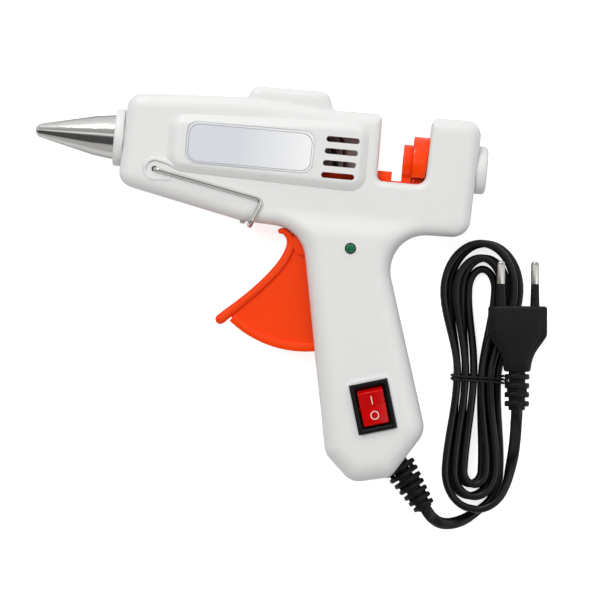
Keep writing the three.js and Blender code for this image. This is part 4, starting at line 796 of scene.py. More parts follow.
def body_cuts():
    """The cuts that both shells share."""
    along = (1, 0, 0)
    cuts = [
        bar("stick_way", 4.65, -20, 70, along, (0, 0)),
        bar("step_way", 6.75, 20.2, 42.2, along, (0, 0)),
        bar("bush_way", 5.9, 44.2, 70, along, (0, 0)),
        bar("bush_seat", 8.15, 58.75, 70, along, (0, 0)),
        bar("mouth_way", 8.7, -70, -55, along, (0, 0)),
        bar("chamber_way", 6.7, -59, -20, along, (0, 0)),
        prism("feed_way", np.array([(20.2, -9.1), (42.5, -9.1), (42.5, -2.5), (20.2, -2.5)]), -5.9, 5.9),
        prism("trigger_way", slot_outline(183, 302, 37.1, 60), -trigger_slot, trigger_slot),
        prism("trigger_nose_way", slot_outline(146, 190, 12.17, 12), -trigger_slot, trigger_slot),
        bar("hub_way", 5.8, -trigger_slot, trigger_slot, (0, 0, 1), trigger_pivot),
    ]
    relief_place = tuple(relief_root / mm)[:2]
    relief_steps = (("neck", 3.9, -8, 8), ("flange", 5.5, -8, -2.3), ("spotface", 5.3, 0.3, 8))
    for name, radius, low, high in relief_steps:
        cuts.append(bar(name + "_way", radius, low, high, relief_way, relief_place))
    return cuts + [hook_way(-1), hook_way(1)]


def vent_cuts():
    """The vent slots, which also lower the rib that crosses them inside."""
    slots = [turned_box(place, *vent_size, vent_corner, 0) for place in vent_places]
    return [prism("vent_way", slot, vent_floor, 20) for slot in slots]


def left_cuts():
    """The cuts of the visible shell: lamp, switch, label and vents."""
    cuts = [bar("lamp_way", 1.9, 2, 20, (0, 0, 1), lamp_place)]
    cuts.append(prism("switch_way", turned_box(switch_place, 11.2, 15.0, 0.4, switch_turn), 2, 20))
    recess = turned_box(label_place, label_size[0] + 0.6, label_size[1] + 0.6, label_corner, 0)
    cuts.append(prism("label_way", recess, grip_half - label_recess, 20))
    return cuts + vent_cuts()


def right_cuts():
    """The cuts of the shell that lies below: the end of the trigger's post, and the screws."""
    cuts = [bar("post_end_way", 3.0, 4.85, 12, (0, 0, 1), trigger_pivot)]
    for x, y in screw_places:
        face = grip_half if y < trigger_pivot[1] else barrel_half
        cuts.append(bar("screw_way", screw_hole, -20, screw_sink - face, (0, 0, 1), (x, y)))
        cuts.append(bar("shank_way", 1.6, -12, 6, (0, 0, 1), (x, y)))
    return cuts


def core_block(side):
    """The space inside the walls, where the ribs and bosses of the moulding stand."""
    line = drawn_in(edge_line, core_inset)[::2]
    net, faces = filled_outline(line, hexed(lining_step))
    heights = shell_height(net) - core_inset
    verts = layer(net, heights, side)
    count = len(line)
    faces = list(faces) + band(0, len(verts), count)
    verts += layer(line, [0] * count, side)
    faces.append(tuple(range(len(verts) - count, len(verts))))
    return oriented(mesh_object("core", verts, faces))


def stand_lug(side):
    """The raised lip round the stand's hook, open behind so that the wire can swing."""
    bend = ring_points(3.35, 80, 262, 24, stand_hook)
    upper = [(-43.6, -7.05), (-40.9, -8.15)]
    lower = [(-45.4, -12.55), (-43.2, -12.5), (-41.4, -12.3)]
    spine = route_through([Vector((x, y, 0)) for x, y in (*upper[::-1], *bend, *lower)], 0.5)
    rings = []
    last = len(spine) - 1
    for i, spot in enumerate(spine):
        way = way_at(spine, i)
        out = Vector((way.y, -way.x, 0))
        share = i / last
        end = math.sqrt(min(1.0, min(i, last - i) / 2.5))
        half = (0.68 + 0.34 * smoothly(share, 0.72, 1)) * (0.55 + 0.45 * end)
        top = lug_top - lug_drop * smoothly(share, 0.46, 0.58) - 0.5 * (1 - end)
        flank = [(half, 9.2), (half, top - 0.5), (half * 0.72, top - 0.14), (half * 0.3, top)]
        section = [(-across, height) for across, height in flank] + flank[::-1]
        ring = [(spot + out * across, gun_middle + side * height) for across, height in section]
        rings.append([Vector((place.x, place.y, height)) * mm for place, height in ring])
    return oriented(loft("lug", rings))


def stand_catch(side):
    """The nub under the barrel that the stand's foot snaps over."""
    corners = [(-18.0, -24.8, 0.5), (-16.2, -24.8, 0.5), (-16.2, -22.2, 0.2), (-18.0, -22.2, 0.2)]
    line = outline_through(corners, 0.2)
    middle = line.mean(0)
    rings = []
    for height, inset in ((seam, 0), (3.5, 0), (3.85, 0.15), (4.0, 0.45)):
        rings.append(layer(middle + (line - middle) * (1 - inset / 1.2), [height] * len(line), side))
    return oriented(loft("catch", rings))


white_plastic = surface(
    "white_moulded_plastic", (0.80, 0.80, 0.79), 0.36, grain=0.12, grain_scale=1400, spread=0.012
)


def finish_shell(name, side, cuts, inner_cuts):
    """One shell: its wall cut open, then joined to the solid's own ribs and bosses."""
    solid = "housing_" + name.split("_")[0]
    wall_piece = oriented(shell_wall(name, side))
    inner_steps = [("INTERSECT", core_block(side))] + [("DIFFERENCE", tool) for tool in inner_cuts]
    inside = worked(merged_copy(solid), inner_steps)
    steps = [("DIFFERENCE", tool) for tool in body_cuts() + cuts]
    steps += [("UNION", inside), ("UNION", stand_lug(side)), ("UNION", stand_catch(side))]
    steps.append(("DIFFERENCE", hook_way(side)))
    finish_piece(worked(wall_piece, steps), white_plastic, "white_shell", solid)


finish_shell("left_shell", 1, left_cuts(), vent_cuts())
finish_shell("right_shell", -1, right_cuts(), [])

# Melting end: the nozzle turned from a metal bar and screwed into the cast melt
# chamber, with the white collar round it, the heater and its clip, and the silicone inlet sleeve.
nozzle_profile = [(60.0, 7.4), (62.2, 7.34), (67.8, 6.66), (68.3, 6.58), (68.9, 6.45), (87.05, 2.28)]
nozzle_profile += [(87.3, 2.18), (88.35, 1.1), (88.5, 0.95), (88.47, 0.8), (88.0, 0.72), (80.0, 0.72)]
nozzle_profile += [(70.0, 3.9), (60.0, 4.0)]
collar_profile = [(59.0, 8.4), (59.0, 9.42), (59.12, 9.52), (61.3, 9.52), (61.75, 9.36), (61.96, 9.0)]
collar_profile += [(62.0, 8.6), (62.0, 7.85), (61.9, 7.66), (61.7, 7.6), (56.1, 7.6), (56.1, 8.4)]
turned_sides = 96
line_depth = 0.02 * mm


def closed_rings(name, rings):
    """A skin over rings whose last ring meets the first again."""
    count = len(rings[0])
    faces = []
    for row in range(len(rings)):
        faces += band(row * count, (row + 1) % len(rings) * count, count)
    return oriented(mesh_object(name, [point for ring in rings for point in ring], faces))


def turned(name, profile, way):
    """A hollow piece turned about the barrel's middle line, from (along, radius) points."""
    return closed_rings(name, rings_about(profile, way, Vector((0, 0, gun_middle)), turned_sides))


def brushed_metal(name, colour, roughness, stretch, lines=0.25, spread=0.05, rim=0.8):
    """Metal with the fine lines that turning, drawing or grinding leaves along one direction."""
    made = surface(name, colour, roughness, spread=spread, metallic=1.0)
    new = made.node_tree.nodes.new
    shader = made.node_tree.nodes["Principled BSDF"]
    shader.inputs["Specular Tint"].default_value = (rim, rim, rim, 1)
    place = new("ShaderNodeTexCoord")
    squeeze = new("ShaderNodeMapping")
    squeeze.inputs["Scale"].default_value = stretch
    fine = new("ShaderNodeTexNoise")
    fine.inputs["Scale"].default_value = 1.0
    relief = new("ShaderNodeBump")
    relief.inputs["Strength"].default_value = lines
    relief.inputs["Distance"].default_value = line_depth
    linked(
        made.node_tree,
        (place, "Object", squeeze, "Vector"),
        (squeeze, "Vector", fine, "Vector"),
        (fine, "Fac", relief, "Height"),
        (relief, "Normal", shader, "Normal"),
    )
    return made


def dressed(finish, *names):
    """Gives CAD solids that keep their own shape their finish."""
    for name in names:
        for slot in bpy.data.objects[name].material_slots:
            slot.material = finish


turned_metal = brushed_metal(
    "turned_nozzle_metal", (0.70, 0.69, 0.67), 0.13, (6000, 90, 90), lines=0.15, rim=0.4
)
nozzle = turned("nozzle_cone", nozzle_profile, (-1, 0, 0))
finish_piece(nozzle, turned_metal, "turned_metal", "nozzle", corner=28)
collar = turned("collar_ring", collar_profile, (-1, 0, 0))
finish_piece(collar, white_plastic, "white_shell", "front_collar", corner=50)

cast_metal = surface("cast_aluminium", (0.50, 0.50, 0.49), 0.45, grain=0.5, grain_scale=1300, metallic=1.0)
dressed(cast_metal, "melt_chamber")
dressed(surface("white_steatite", (0.78, 0.76, 0.70), 0.55, grain=0.2, grain_scale=2200), "ptc_heater")
dressed(brushed_metal("spring_steel_strip", (0.46, 0.45, 0.43), 0.28, (300, 300, 4000)), "heater_clip")
silicone = surface("translucent_silicone", (0.66, 0.62, 0.55), 0.5, grain=0.2, grain_scale=1500)
dressed(silicone, "inlet_sleeve")

# Rear guide bush: a white moulded tube with a thick soft-edged flange; the stick goes in there.
bush_profile = [(44.6, 4.1), (62.0, 4.1), (62.35, 4.3), (62.5, 4.75), (62.5, 6.6), (62.3, 7.35)]
bush_profile += [(61.75, 7.85), (61.1, 8.0), (59.1, 8.0), (58.85, 7.8), (58.8, 7.4), (58.8, 5.6), (44.6, 5.6)]
bush = turned("rear_bush", bush_profile, (1, 0, 0))
finish_piece(bush, white_plastic, "white_shell", "rear_guide_bush", corner=50)

# Wire stand: one length of polished steel wire, sprung into both sides of the housing by its
# hooked ends; its cross bar folds up behind the catch under the barrel.
stand_wire = 0.7 * mm
stand_bend = 1.8 * mm
stand_spacing = 0.25 * mm
stand_places = [(*stand_hook, 8.4), (*stand_hook, 12.7), (-10.97, -16.51, 12.7), (-14.69, -25.2, 12.7)]


def bent_route(points, radius, spacing):
    """A wire's middle line: straight from point to point, with round bends."""
    line = [points[0]]
    for before, here, after in zip(points, points[1:], points[2:]):
        back, on = (before - here).normalized(), (after - here).normalized()
        half = math.acos(max(min(back.dot(on), 1), -1)) / 2
        run = min(radius / math.tan(half), 0.49 * min((before - here).length, (after - here).length))
        bend = run * math.tan(half)
        centre = here + (back + on).normalized() * bend / math.sin(half)
        start, end = here + back * run - centre, here + on * run - centre
        turn = start.angle(end)
        steps = max(4, round(turn * bend / spacing))
        for step in range(steps + 1):
            share = step / steps
            spoke = (start * math.sin((1 - share) * turn) + end * math.sin(share * turn)) / math.sin(turn)
            line.append(centre + spoke)
    line.append(points[-1])
    return line


def tube(name, line, radius, sides=16):
    """A round bar along a line, its section carried on without a twist."""
    across = way_at(line, 0).orthogonal()
    angles = [math.tau * k / sides for k in range(sides)]
    rings = []
    for i, spot in enumerate(line):
        way = way_at(line, i)
        across = (across - way * across.dot(way)).normalized()
        other = way.cross(across)
        rings.append([spot + (across * math.cos(a) + other * math.sin(a)) * radius for a in angles])
    return loft(name, rings)


stand_half = [Vector((x, y, gun_middle + z)) * mm for x, y, z in stand_places]
stand_other = [Vector((x, y, gun_middle - z)) * mm for x, y, z in stand_places[::-1]]
stand_line = bent_route(stand_half + stand_other, stand_bend, stand_spacing)
polished_wire = brushed_metal(
    "polished_steel_wire", (0.80, 0.79, 0.77), 0.12, (300, 300, 300), lines=0.1, rim=0.5
)
stand = tube("stand_wire", stand_line, stand_wire, 20)
finish_piece(stand, polished_wire, "spring_steel", "wire_stand", body="stand", corner=50)

# Label plate: silvered foil on a thin plate, sunk flush into the raised panel. It is bare but for
# the fine grey line round its edge; its foil colour is painted paler towards its rear end, a painted sheen.
label_line = 0.24
label_border = 0.5
label_under, label_face = 13.02, 13.46
label_raised = 0.005
label_edge = 0.05


def even_ring(inset, height):
    """A ring of the plate, always with as many points as the first."""
    line = turned_box(label_place, *label_size, label_corner, 0)
    middle = np.array(label_place)
    shrink = 1 - 2 * inset / np.array(label_size)
    return layer(middle + (line - middle) * shrink, [height] * len(line), 1)


label_foil = surface("silvered_foil_painted_sheen", (0.70, 0.72, 0.76), 0.30, grain=0.04, grain_scale=2600, spread=0.02)
# Painted sheen: the foil's colour is mixed towards near white from just before the plate's middle to its rear
# end, painting in the bright reflection the foil shows there.
foil_tree = label_foil.node_tree
foil_place = foil_tree.nodes.new("ShaderNodeSeparateXYZ")
sheen_share = foil_tree.nodes.new("ShaderNodeMapRange")
sheen_share.inputs["From Min"].default_value = (label_place[0] - label_size[0] * 0.1) * mm
sheen_share.inputs["From Max"].default_value = (label_place[0] + label_size[0] / 2) * mm
painted_sheen = foil_tree.nodes.new("ShaderNodeMix")
painted_sheen.data_type = "RGBA"
painted_sheen.inputs[7].default_value = (0.95, 0.95, 0.95, 1)
tinted = foil_tree.nodes["Principled BSDF"].inputs["Base Color"]
foil_tree.links.new(tinted.links[0].from_socket, painted_sheen.inputs[6])
linked(
    foil_tree,
    (foil_tree.nodes["Texture Coordinate"], "Object", foil_place, "Vector"),
    (foil_place, "X", sheen_share, "Value"),
    (sheen_share, "Result", painted_sheen, 0),
    (painted_sheen, 2, foil_tree.nodes["Principled BSDF"], "Base Color"),
)
label_grey = surface("grey_border_print", (0.36, 0.37, 0.40), 0.4, spread=0.04)
label_stations = [(0, label_under), (0, label_face - label_edge), (label_edge, label_face)]
label_stations += [(inset, label_face + label_raised) for inset in (label_border, label_border + label_line)]
label_plate = loft("foil_plate", [even_ring(*station) for station in label_stations])
finish_piece(label_plate, label_foil, "label_foil", "label_plate", corner=50)
label_plate.data.materials.append(label_grey)
raised_level = (gun_middle + label_face + label_raised) * mm
for face in label_plate.data.polygons:
    heights = [label_plate.data.vertices[i].co.z for i in face.vertices]
    if len(heights) == 4 and all(abs(height - raised_level) < 1e-7 for height in heights):
        face.material_index = 1

# Indicator lamp: a clear green lens pushed out through the shell from inside, on a small board
# that the heater's leads pass.
dressed(surface("green_lens", (0.0, 0.13, 0.05), 0.12, spread=0.25, grain_scale=500), "lamp_lens")
board_green = surface("lamp_board_green", (0.02, 0.16, 0.06), 0.45, grain=0.3, grain_scale=1500, spread=0.15)
dressed(board_green, "lamp_board")

# Feed: an orange tray that carries the stick's step, and the clamp ring that tips to grip the
# stick. Both are moulded in orange plastic and drop into the barrel's guides.
orange_plastic = surface(
    "orange_moulded_plastic", (0.97, 0.056, 0.002), 0.2, grain=0.04, grain_scale=1200, spread=0.03, shine=0.25
)
soft_edge = 0.25
window_floor = -6.8
step_rear = (36.4, 36.9, 0.55, 0.0)
clamp_rear = (41.2, 41.8, 0.1, 0.06)


def softened(name, new_name, rear):
    """A solid's copy with flat faces made whole, rounded edges, and its rear face moved back."""
    made = merged_copy(name)
    made.name = new_name
    shape = bmesh.new()
    shape.from_mesh(made.data)
    bmesh.ops.dissolve_limit(
        shape, angle_limit=math.radians(2), verts=shape.verts, edges=shape.edges, delimit=set()
    )
    shape.to_mesh(made.data)
    shape.free()
    round_edge = made.modifiers.new("edge", "BEVEL")
    round_edge.width = soft_edge * mm
    round_edge.segments = 2
    round_edge.limit_method = "ANGLE"
    round_edge.angle_limit = math.radians(50)
    round_edge.use_clamp_overlap = True
    settled(made)
    after, before, reach, lean = rear
    for vertex in made.data.vertices:
        if after * mm < vertex.co.x < before * mm:
            vertex.co.x += reach * mm + lean * (vertex.co.y - window_floor * mm)
    return made


floor_line = [(29.5, -7.6), (36.2, -7.6), (36.2, -5.6), (35.4, -5.75), (34.6, -6.05), (33.4, -6.25)]
tray_floor = oriented(prism("tray_floor", np.array([*floor_line, (29.5, -6.25)]), -3.9, 3.9))
feed_tray = worked(softened("feed_carriage", "feed_tray", step_rear), [("UNION", tray_floor)])
finish_piece(feed_tray, orange_plastic, "orange_feed", "feed_carriage", body="carriage", corner=40)
clamp_ring = softened("grip_clamp", "clamp_ring_plate", clamp_rear)
finish_piece(clamp_ring, orange_plastic, "orange_feed", "grip_clamp", body="clamp", corner=40)

# Trigger: one orange moulding. A flat web turns on a post in the grip, a thick rim follows its
# arc, and a broad round-edged bar makes the finger face and curls over at its upper end.
web_half = 4.42
sector_radius = 36.5
sector_angles = (231.0, 290.0)
bar_half = 6.0
bar_sides = 32
cap_angles = (30, 55, 75, 88)
finger_line = [(-4.15, -26.2, 0.85), (-3.2, -26.1, 1.0), (-1.7, -26.95, 1.2), (-0.7, -28.3, 1.35)]
finger_line += [(-0.35, -30.2, 1.42), (-0.95, -33.2, 1.45), (-2.9, -37.2, 1.45), (-6.1, -41.6, 1.42)]
finger_line += [(-10.7, -46.8, 1.4), (-15.3, -51.35, 1.45), (-18.4, -54.3, 1.6), (-21.4, -57.2, 1.75)]
rim_flank = [(33.2, 4.0), (33.35, 4.62), (33.75, 5.08), (34.35, 5.3), (36.0, 5.3), (36.35, 5.16), (36.5, 4.8)]


def finger_bar():
    """The finger face: a flat bar with round edges and ends, along its line of (x, y, half) places."""
    rough = [Vector((x, y, 0)) for x, y, half in finger_line]
    line = route_through(rough, 0.35)
    passed = np.cumsum([0.0] + [(b - a).length for a, b in zip(rough, rough[1:])])
    halves = [half for x, y, half in finger_line]
    rings = []
    for i, spot in enumerate(line):
        thick = np.interp(passed[-1] * i / (len(line) - 1), passed, halves)
        rings.append((spot, way_at(line, i), bar_half, thick))
    caps = []
    for (spot, way, half, thick), out in ((rings[0], -1), (rings[-1], 1)):
        for angle in np.radians(cap_angles):
            sine, cosine = math.sin(angle), math.cos(angle)
            end = spot + way * out * thick * sine
            caps.append((end, way, half - thick * (1 - cosine), thick * max(cosine, 0.05)))
    sections = []
    for spot, way, half, thick in caps[:4][::-1] + rings + caps[4:]:
        across = Vector((way.y, -way.x, 0))
        ring = []
        for angle in [math.tau * (i + 0.5) / bar_sides for i in range(bar_sides)]:
            side = math.copysign(half - thick, math.sin(angle)) + thick * math.sin(angle)
            place = spot + across * thick * math.cos(angle)
            ring.append(Vector((place.x, place.y, gun_middle + side)) * mm)
        sections.append(ring)
    return oriented(loft("finger_bar", sections))


def rim_block():
    """The rim along the arc, with a round inner edge that catches the light."""
    section = rim_flank + [(radius, -height) for radius, height in rim_flank[::-1]]
    rings = []
    for angle in np.radians(np.linspace(*sector_angles, 72)):
        way = np.array((math.cos(angle), math.sin(angle)))
        places = [(*(trigger_pivot + way * radius), gun_middle + height) for radius, height in section]
        rings.append([Vector(place) * mm for place in places])
    return oriented(loft("rim", rings))


web_line = [(x + 0.2, y - 0.2) for x, y, half in finger_line[2:-1]]
arc = ring_points(sector_radius - 0.3, 232.5, sector_angles[1], 48, trigger_pivot)
web_outline = np.concatenate([[(1.2, -25.9)], web_line, [(-17.9, -55.6)], arc, [trigger_pivot]])
hub_space = prism("hub_space", np.array([(-0.9, -41), (30, -41), (30, -7), (-0.9, -7)]), -8, 8)
hub_part = worked(merged_copy("trigger"), [("INTERSECT", hub_space)])
web_piece = oriented(prism("trigger_web", web_outline, -web_half, web_half))
post_way = bar("post_way", 2.4, -8, 5.0, (0, 0, 1), trigger_pivot)
hub_cap = bar("hub_cap", 3.2, 4.6, 5.7, (0, 0, 1), trigger_pivot)
trigger_steps = [("UNION", rim_block()), ("UNION", finger_bar()), ("UNION", hub_part), ("UNION", hub_cap)]
trigger = worked(web_piece, trigger_steps + [("DIFFERENCE", post_way)])
finish_piece(trigger, orange_plastic, "orange_feed", "trigger", body="trigger", corner=32)

# Return spring: steel wire wound by a rule, nine turns, with a hooked end on the trigger's tab and
# another on its post in the right shell.
spring_wire = 0.35 * mm
spring_radius = 1.9 * mm
spring_turns = 9.0
spring_from = Vector((15.55, -32.74, gun_middle)) * mm
spring_to = Vector((29.97, -46.98, gun_middle)) * mm
coil_share = 0.62
eye_radius = 2.45 * mm
hook_lift = Vector((0, 0, 2.05)) * mm
hook_spacing = 0.4 * mm


def tree_with(name, sockets):
    """A node tree with named inputs, the node that hands them in, and the call that adds nodes."""
    tree = bpy.data.node_groups.new(name, "GeometryNodeTree")
    tree.interface.new_socket("Geometry", in_out="INPUT", socket_type="NodeSocketGeometry")
    for label, kind in {**sockets, "Finish": "Material"}.items():
        tree.interface.new_socket(label, in_out="INPUT", socket_type="NodeSocket" + kind)
    tree.interface.new_socket("Geometry", in_out="OUTPUT", socket_type="NodeSocketGeometry")
    return tree, tree.nodes.new("NodeGroupInput"), tree.nodes.new


def ended(tree, given, source, gives):
    """Ends a tree: its instances are made real and take their finish."""
    real = tree.nodes.new("GeometryNodeRealizeInstances")
    paint = tree.nodes.new("GeometryNodeSetMaterial")
    linked(
        tree,
        (source, gives, real, "Geometry"),
        (real, "Geometry", paint, "Geometry"),
        (given, "Finish", paint, "Material"),
        (paint, "Geometry", tree.nodes.new("NodeGroupOutput"), "Geometry"),
    )


def grown(name, tree, values, base=None):
    """The plain mesh that a tree makes with the given inputs."""
    made = base or mesh_object(name, [(0, 0, 0)], [])
    grow = made.modifiers.new("grow", "NODES")
    grow.node_group = tree
    for socket in tree.interface.items_tree:
        if socket.in_out == "INPUT" and socket.name in values:
            grow[socket.identifier] = values[socket.name]
    return settled(made)


def joined_piece(name, parts):
    """Several meshes of one real piece in one mesh."""
    shape = bmesh.new()
    for part in parts:
        shape.from_mesh(part.data)
        bpy.data.objects.remove(part)
    mesh = bpy.data.meshes.new(name)
    shape.to_mesh(mesh)
    shape.free()
    made = bpy.data.objects.new(name, mesh)
    scene.collection.objects.link(made)
    return made


coil_tree, given, new = tree_with(
    "wound_coil", {"Turns": "Float", "Radius": "Float", "Height": "Float", "Wire": "Float"}
)
wind = new("GeometryNodeCurveSpiral")
wind.inputs["Resolution"].default_value = 28
wire_section = new("GeometryNodeCurvePrimitiveCircle")
wire_section.inputs["Resolution"].default_value = 12
sweep = new("GeometryNodeCurveToMesh")
sweep.inputs["Fill Caps"].default_value = True
linked(
    coil_tree,
    (given, "Turns", wind, "Rotations"),
    (given, "Radius", wind, "Start Radius"),
    (given, "Radius", wind, "End Radius"),
    (given, "Height", wind, "Height"),
    (given, "Wire", wire_section, "Radius"),
    (wind, "Curve", sweep, "Curve"),
    (wire_section, "Curve", sweep, "Profile Curve"),
)
ended(coil_tree, given, sweep, "Mesh")

spring_steel = brushed_metal("spring_wire_steel", (0.40, 0.39, 0.37), 0.25, (500, 500, 500))
spring_way = (spring_to - spring_from).normalized()
spring_span = (spring_to - spring_from).length
coil_length = spring_span * coil_share
coil_start = spring_from + spring_way * (spring_span - coil_length) / 2
coil_sizes = {"Turns": spring_turns, "Radius": spring_radius, "Height": coil_length, "Wire": spring_wire}
coil = grown("spring_coil", coil_tree, {**coil_sizes, "Finish": spring_steel})
spring_level = spring_way.cross(Vector((0, 0, 1)))
axes = Matrix((spring_level, -Vector((0, 0, 1)), spring_way)).transposed().to_4x4()
coil.data.transform(Matrix.Translation(coil_start) @ axes)

tab_end = coil_start + spring_level * spring_radius
post_end = tab_end + spring_way * coil_length
tab_route = [spring_from - hook_lift, spring_from + hook_lift * 0.5]
tab_route += [spring_from + hook_lift + spring_way * 1.4 * mm, tab_end - spring_way * 0.6 * mm, tab_end]
eye_angles = np.linspace(2.1, -2.1, 15)
eye = [(spring_way * math.cos(a) + spring_level * math.sin(a)) * eye_radius for a in eye_angles]
post_route = [post_end, *[spring_to + spoke for spoke in eye]]
hook_lines = [route_through(route, hook_spacing) for route in (tab_route, post_route)]
hooks = [tube("hook", line, spring_wire, 12) for line in hook_lines]
spring = joined_piece("trigger_spring", [coil, *hooks])
finish_piece(spring, spring_steel, "spring_steel", "return_spring", corner=60)

# Rocker switch: a black frame that snaps into the grip, with a red rocker on two pins. The frame's
# face is a raised rim with round corners; two plated terminals stand out of its back.
face_w, face_h = 13.0, 16.8
mouth_w, mouth_h = 9.1, 12.9
frame_under, frame_top = 13.62, 15.05
switch_axis = 13.2
switch_cross = (math.cos(switch_turn), math.sin(switch_turn), 0)
black_plastic = surface(
    "black_moulded_plastic", (0.004, 0.005, 0.0055), 0.4, grain=0.12, grain_scale=1500, shine=0.22
)


def on_switch(across, along, height):
    """A place of the switch: across it, along it, and above its axis."""
    x, y = spun(across, along, switch_turn)
    return Vector((x + switch_place[0], y + switch_place[1], gun_middle + switch_axis + height)) * mm


def switch_ring(width, length, corner, height):
    """A ring of the switch with as many points at every size."""
    w, h = width / 2 - corner, length / 2 - corner
    ring = []
    for quarter, (x, y) in enumerate(((w, h), (-w, h), (-w, -h), (w, -h))):
        for angle in np.linspace(quarter, quarter + 1, 9) * math.pi / 2:
            place = x + corner * math.cos(angle), y + corner * math.sin(angle)
            ring.append(on_switch(*place, height - switch_axis))
    return ring


rim_rings = [
    switch_ring(face_w, face_h, 1.4, frame_under),
    switch_ring(face_w, face_h, 1.4, frame_top - 0.45),
    switch_ring(face_w - 0.24, face_h - 0.24, 1.3, frame_top - 0.14),
    switch_ring(face_w - 0.8, face_h - 0.8, 1.1, frame_top),
    switch_ring(mouth_w + 1.5, mouth_h + 1.5, 0.6, frame_top),
    switch_ring(mouth_w + 1.1, mouth_h + 1.1, 0.5, frame_top - 0.12),
    switch_ring(mouth_w, mouth_h, 0.3, frame_top - 1.1),
    switch_ring(mouth_w, mouth_h, 0.3, frame_under),
]
body_space = prism("body_space", turned_box(switch_place, 20, 24, 1, switch_turn), -5, frame_under + 0.3)
rocker_space = prism("rocker_space", turned_box(switch_place, mouth_w, mouth_h, 0.3, switch_turn), 13.7, 20)
frame_body = worked(merged_copy("switch_frame"), [("INTERSECT", body_space), ("DIFFERENCE", rocker_space)])
switch_frame = worked(closed_rings("frame_rim", rim_rings), [("UNION", frame_body)])
finish_piece(switch_frame, black_plastic, "black_plastic", "switch_frame", corner=30)

# the rocker: its raised end is the off side's far half; the marks are printed white
rocker_low = 1.83
rocker_slope = 0.352
slope_from = -0.6
rocker_section = [(-5.72, rocker_low), (-5.93, 1.70), (-6.02, 1.45), (-6.15, 0.0), (-3.07, -3.2)]
rocker_section += [(3.07, -3.2), (6.15, 0.0), (5.05, 3.45), (4.93, 3.64), (4.74, 3.68), (4.45, 3.59)]
rocker_section += [(0.5, 2.08), (0.1, 1.95), (-0.31, 1.86), (-0.9, rocker_low)]
rocker_sides = ((-4.25, 0.3), (-4.16, 0.1), (-3.95, 0.0), (3.95, 0.0), (4.16, 0.1), (4.25, 0.3))
pin_reach = mouth_w / 2 + 0.35
print_over, print_under = 0.05, -0.08

rocker_rings = []
for across, inset in rocker_sides:
    ring = [(across, along * (1 - inset / 6), height - inset) for along, height in rocker_section]
    rocker_rings.append([on_switch(*place) for place in ring])
rocker_body = oriented(loft("rocker_body", rocker_rings))
rocker_pin = bar("rocker_pin", 0.45, -pin_reach, pin_reach, switch_cross, (*switch_place, switch_axis))
red_plastic = surface(
    "red_moulded_plastic", (0.60, 0.002, 0.002), 0.22, grain=0.05, grain_scale=1400, spread=0.04, shine=0.2
)
rocker = worked(rocker_body, [("UNION", rocker_pin)])
finish_piece(rocker, red_plastic, "red_plastic", "switch_rocker", body="rocker", corner=40)


def printed(name, middle, *outlines):
    """A flat mark that follows the rocker's face, from its outline and perhaps an inner one."""
    levels = []
    for lift in (print_over, print_under):
        for outline in outlines:
            ring = []
            for x, y in outline:
                face = rocker_low + max(middle + y - slope_from, 0) * rocker_slope
                ring.append(on_switch(x, middle + y, face + lift))
            levels.append(ring)
    rings = levels[: len(outlines)] + levels[len(outlines) :][::-1]
    return closed_rings(name, rings) if len(outlines) > 1 else loft(name, rings)


def oval(half_width, half_length):
    """An oval outline."""
    angles = [math.tau * i / 48 for i in range(48)]
    return [(half_width * math.cos(a), half_length * math.sin(a)) for a in angles]


mark_o = printed("mark_o", -2.85, oval(1.42, 1.46), oval(1.12, 1.16))
mark_i = printed("mark_i", 2.25, [(-0.17, -1.4), (0.17, -1.4), (0.17, 1.4), (-0.17, 1.4)])
white_print = surface("white_print", (0.82, 0.80, 0.78), 0.45, spread=0.03)
finish_piece(joined_piece("rocker_marks", [mark_o, mark_i]), white_print, "white_shell", body="rocker")

brass = brushed_metal("brass_terminal", (0.62, 0.45, 0.20), 0.3, (300, 300, 3000))
dressed(brass, "switch_terminal_line", "switch_terminal_load")

# Strain relief: a black rubbery sleeve moulded on the cord. Its neck and flange sit in the heel of
# the grip; outside, ribs grow smaller and are joined by short bars, now above and below, now beside.
relief_pitch = 2.45
relief_ribs = 7
relief_sizes = (5.6, 3.7)
relief_core = 2.75
relief_from = 0.4 * mm
rib_share = 0.6
bridge_overlap = 0.15
sleeve_sides = 48
rib_profile = ((0, 0.6), (0, 0.93), (0.12, 0.985), (0.3, 1.0), (0.7, 1.0), (0.88, 0.985), (1, 0.93), (1, 0.6))
bridge_corners = ((0.5, -0.3), (0.8, -0.26), (0.8, 0.26), (0.5, 0.3))
relief_core_line = [(-8.3, 3.5), (-5.35, 3.6), (-5.3, 5.1), (-3.3, 5.2), (-3.2, 3.6), (-0.1, 3.6)]
relief_core_line += [(0.3, relief_core), (16.6, relief_core * 0.92), (16.8, relief_core * 0.82)]
black_rubber = surface(
    "black_soft_vinyl", (0.004, 0.004, 0.0045), 0.46, grain=0.22, grain_scale=1400, shine=0.25
)


def unit_rib(length):
    """One rib of radius one, with round edges, to be set along a sleeve."""
    stations = [(along * length, radius) for along, radius in rib_profile]
    return oriented(loft("rib", rings_about(stations, (0, 0, 1), Vector(), sleeve_sides)))


def unit_bridge(length):
    """One pair of bars that join a rib to the next, at both sides of the sleeve."""
    bars = []
    for side in (-1, 1):
        rings = [[Vector((side * x, side * y, z)) * mm for x, y in bridge_corners] for z in (0, length)]
        bars.append(oriented(loft("bridge", rings)))
    return joined_piece("bridge", bars)


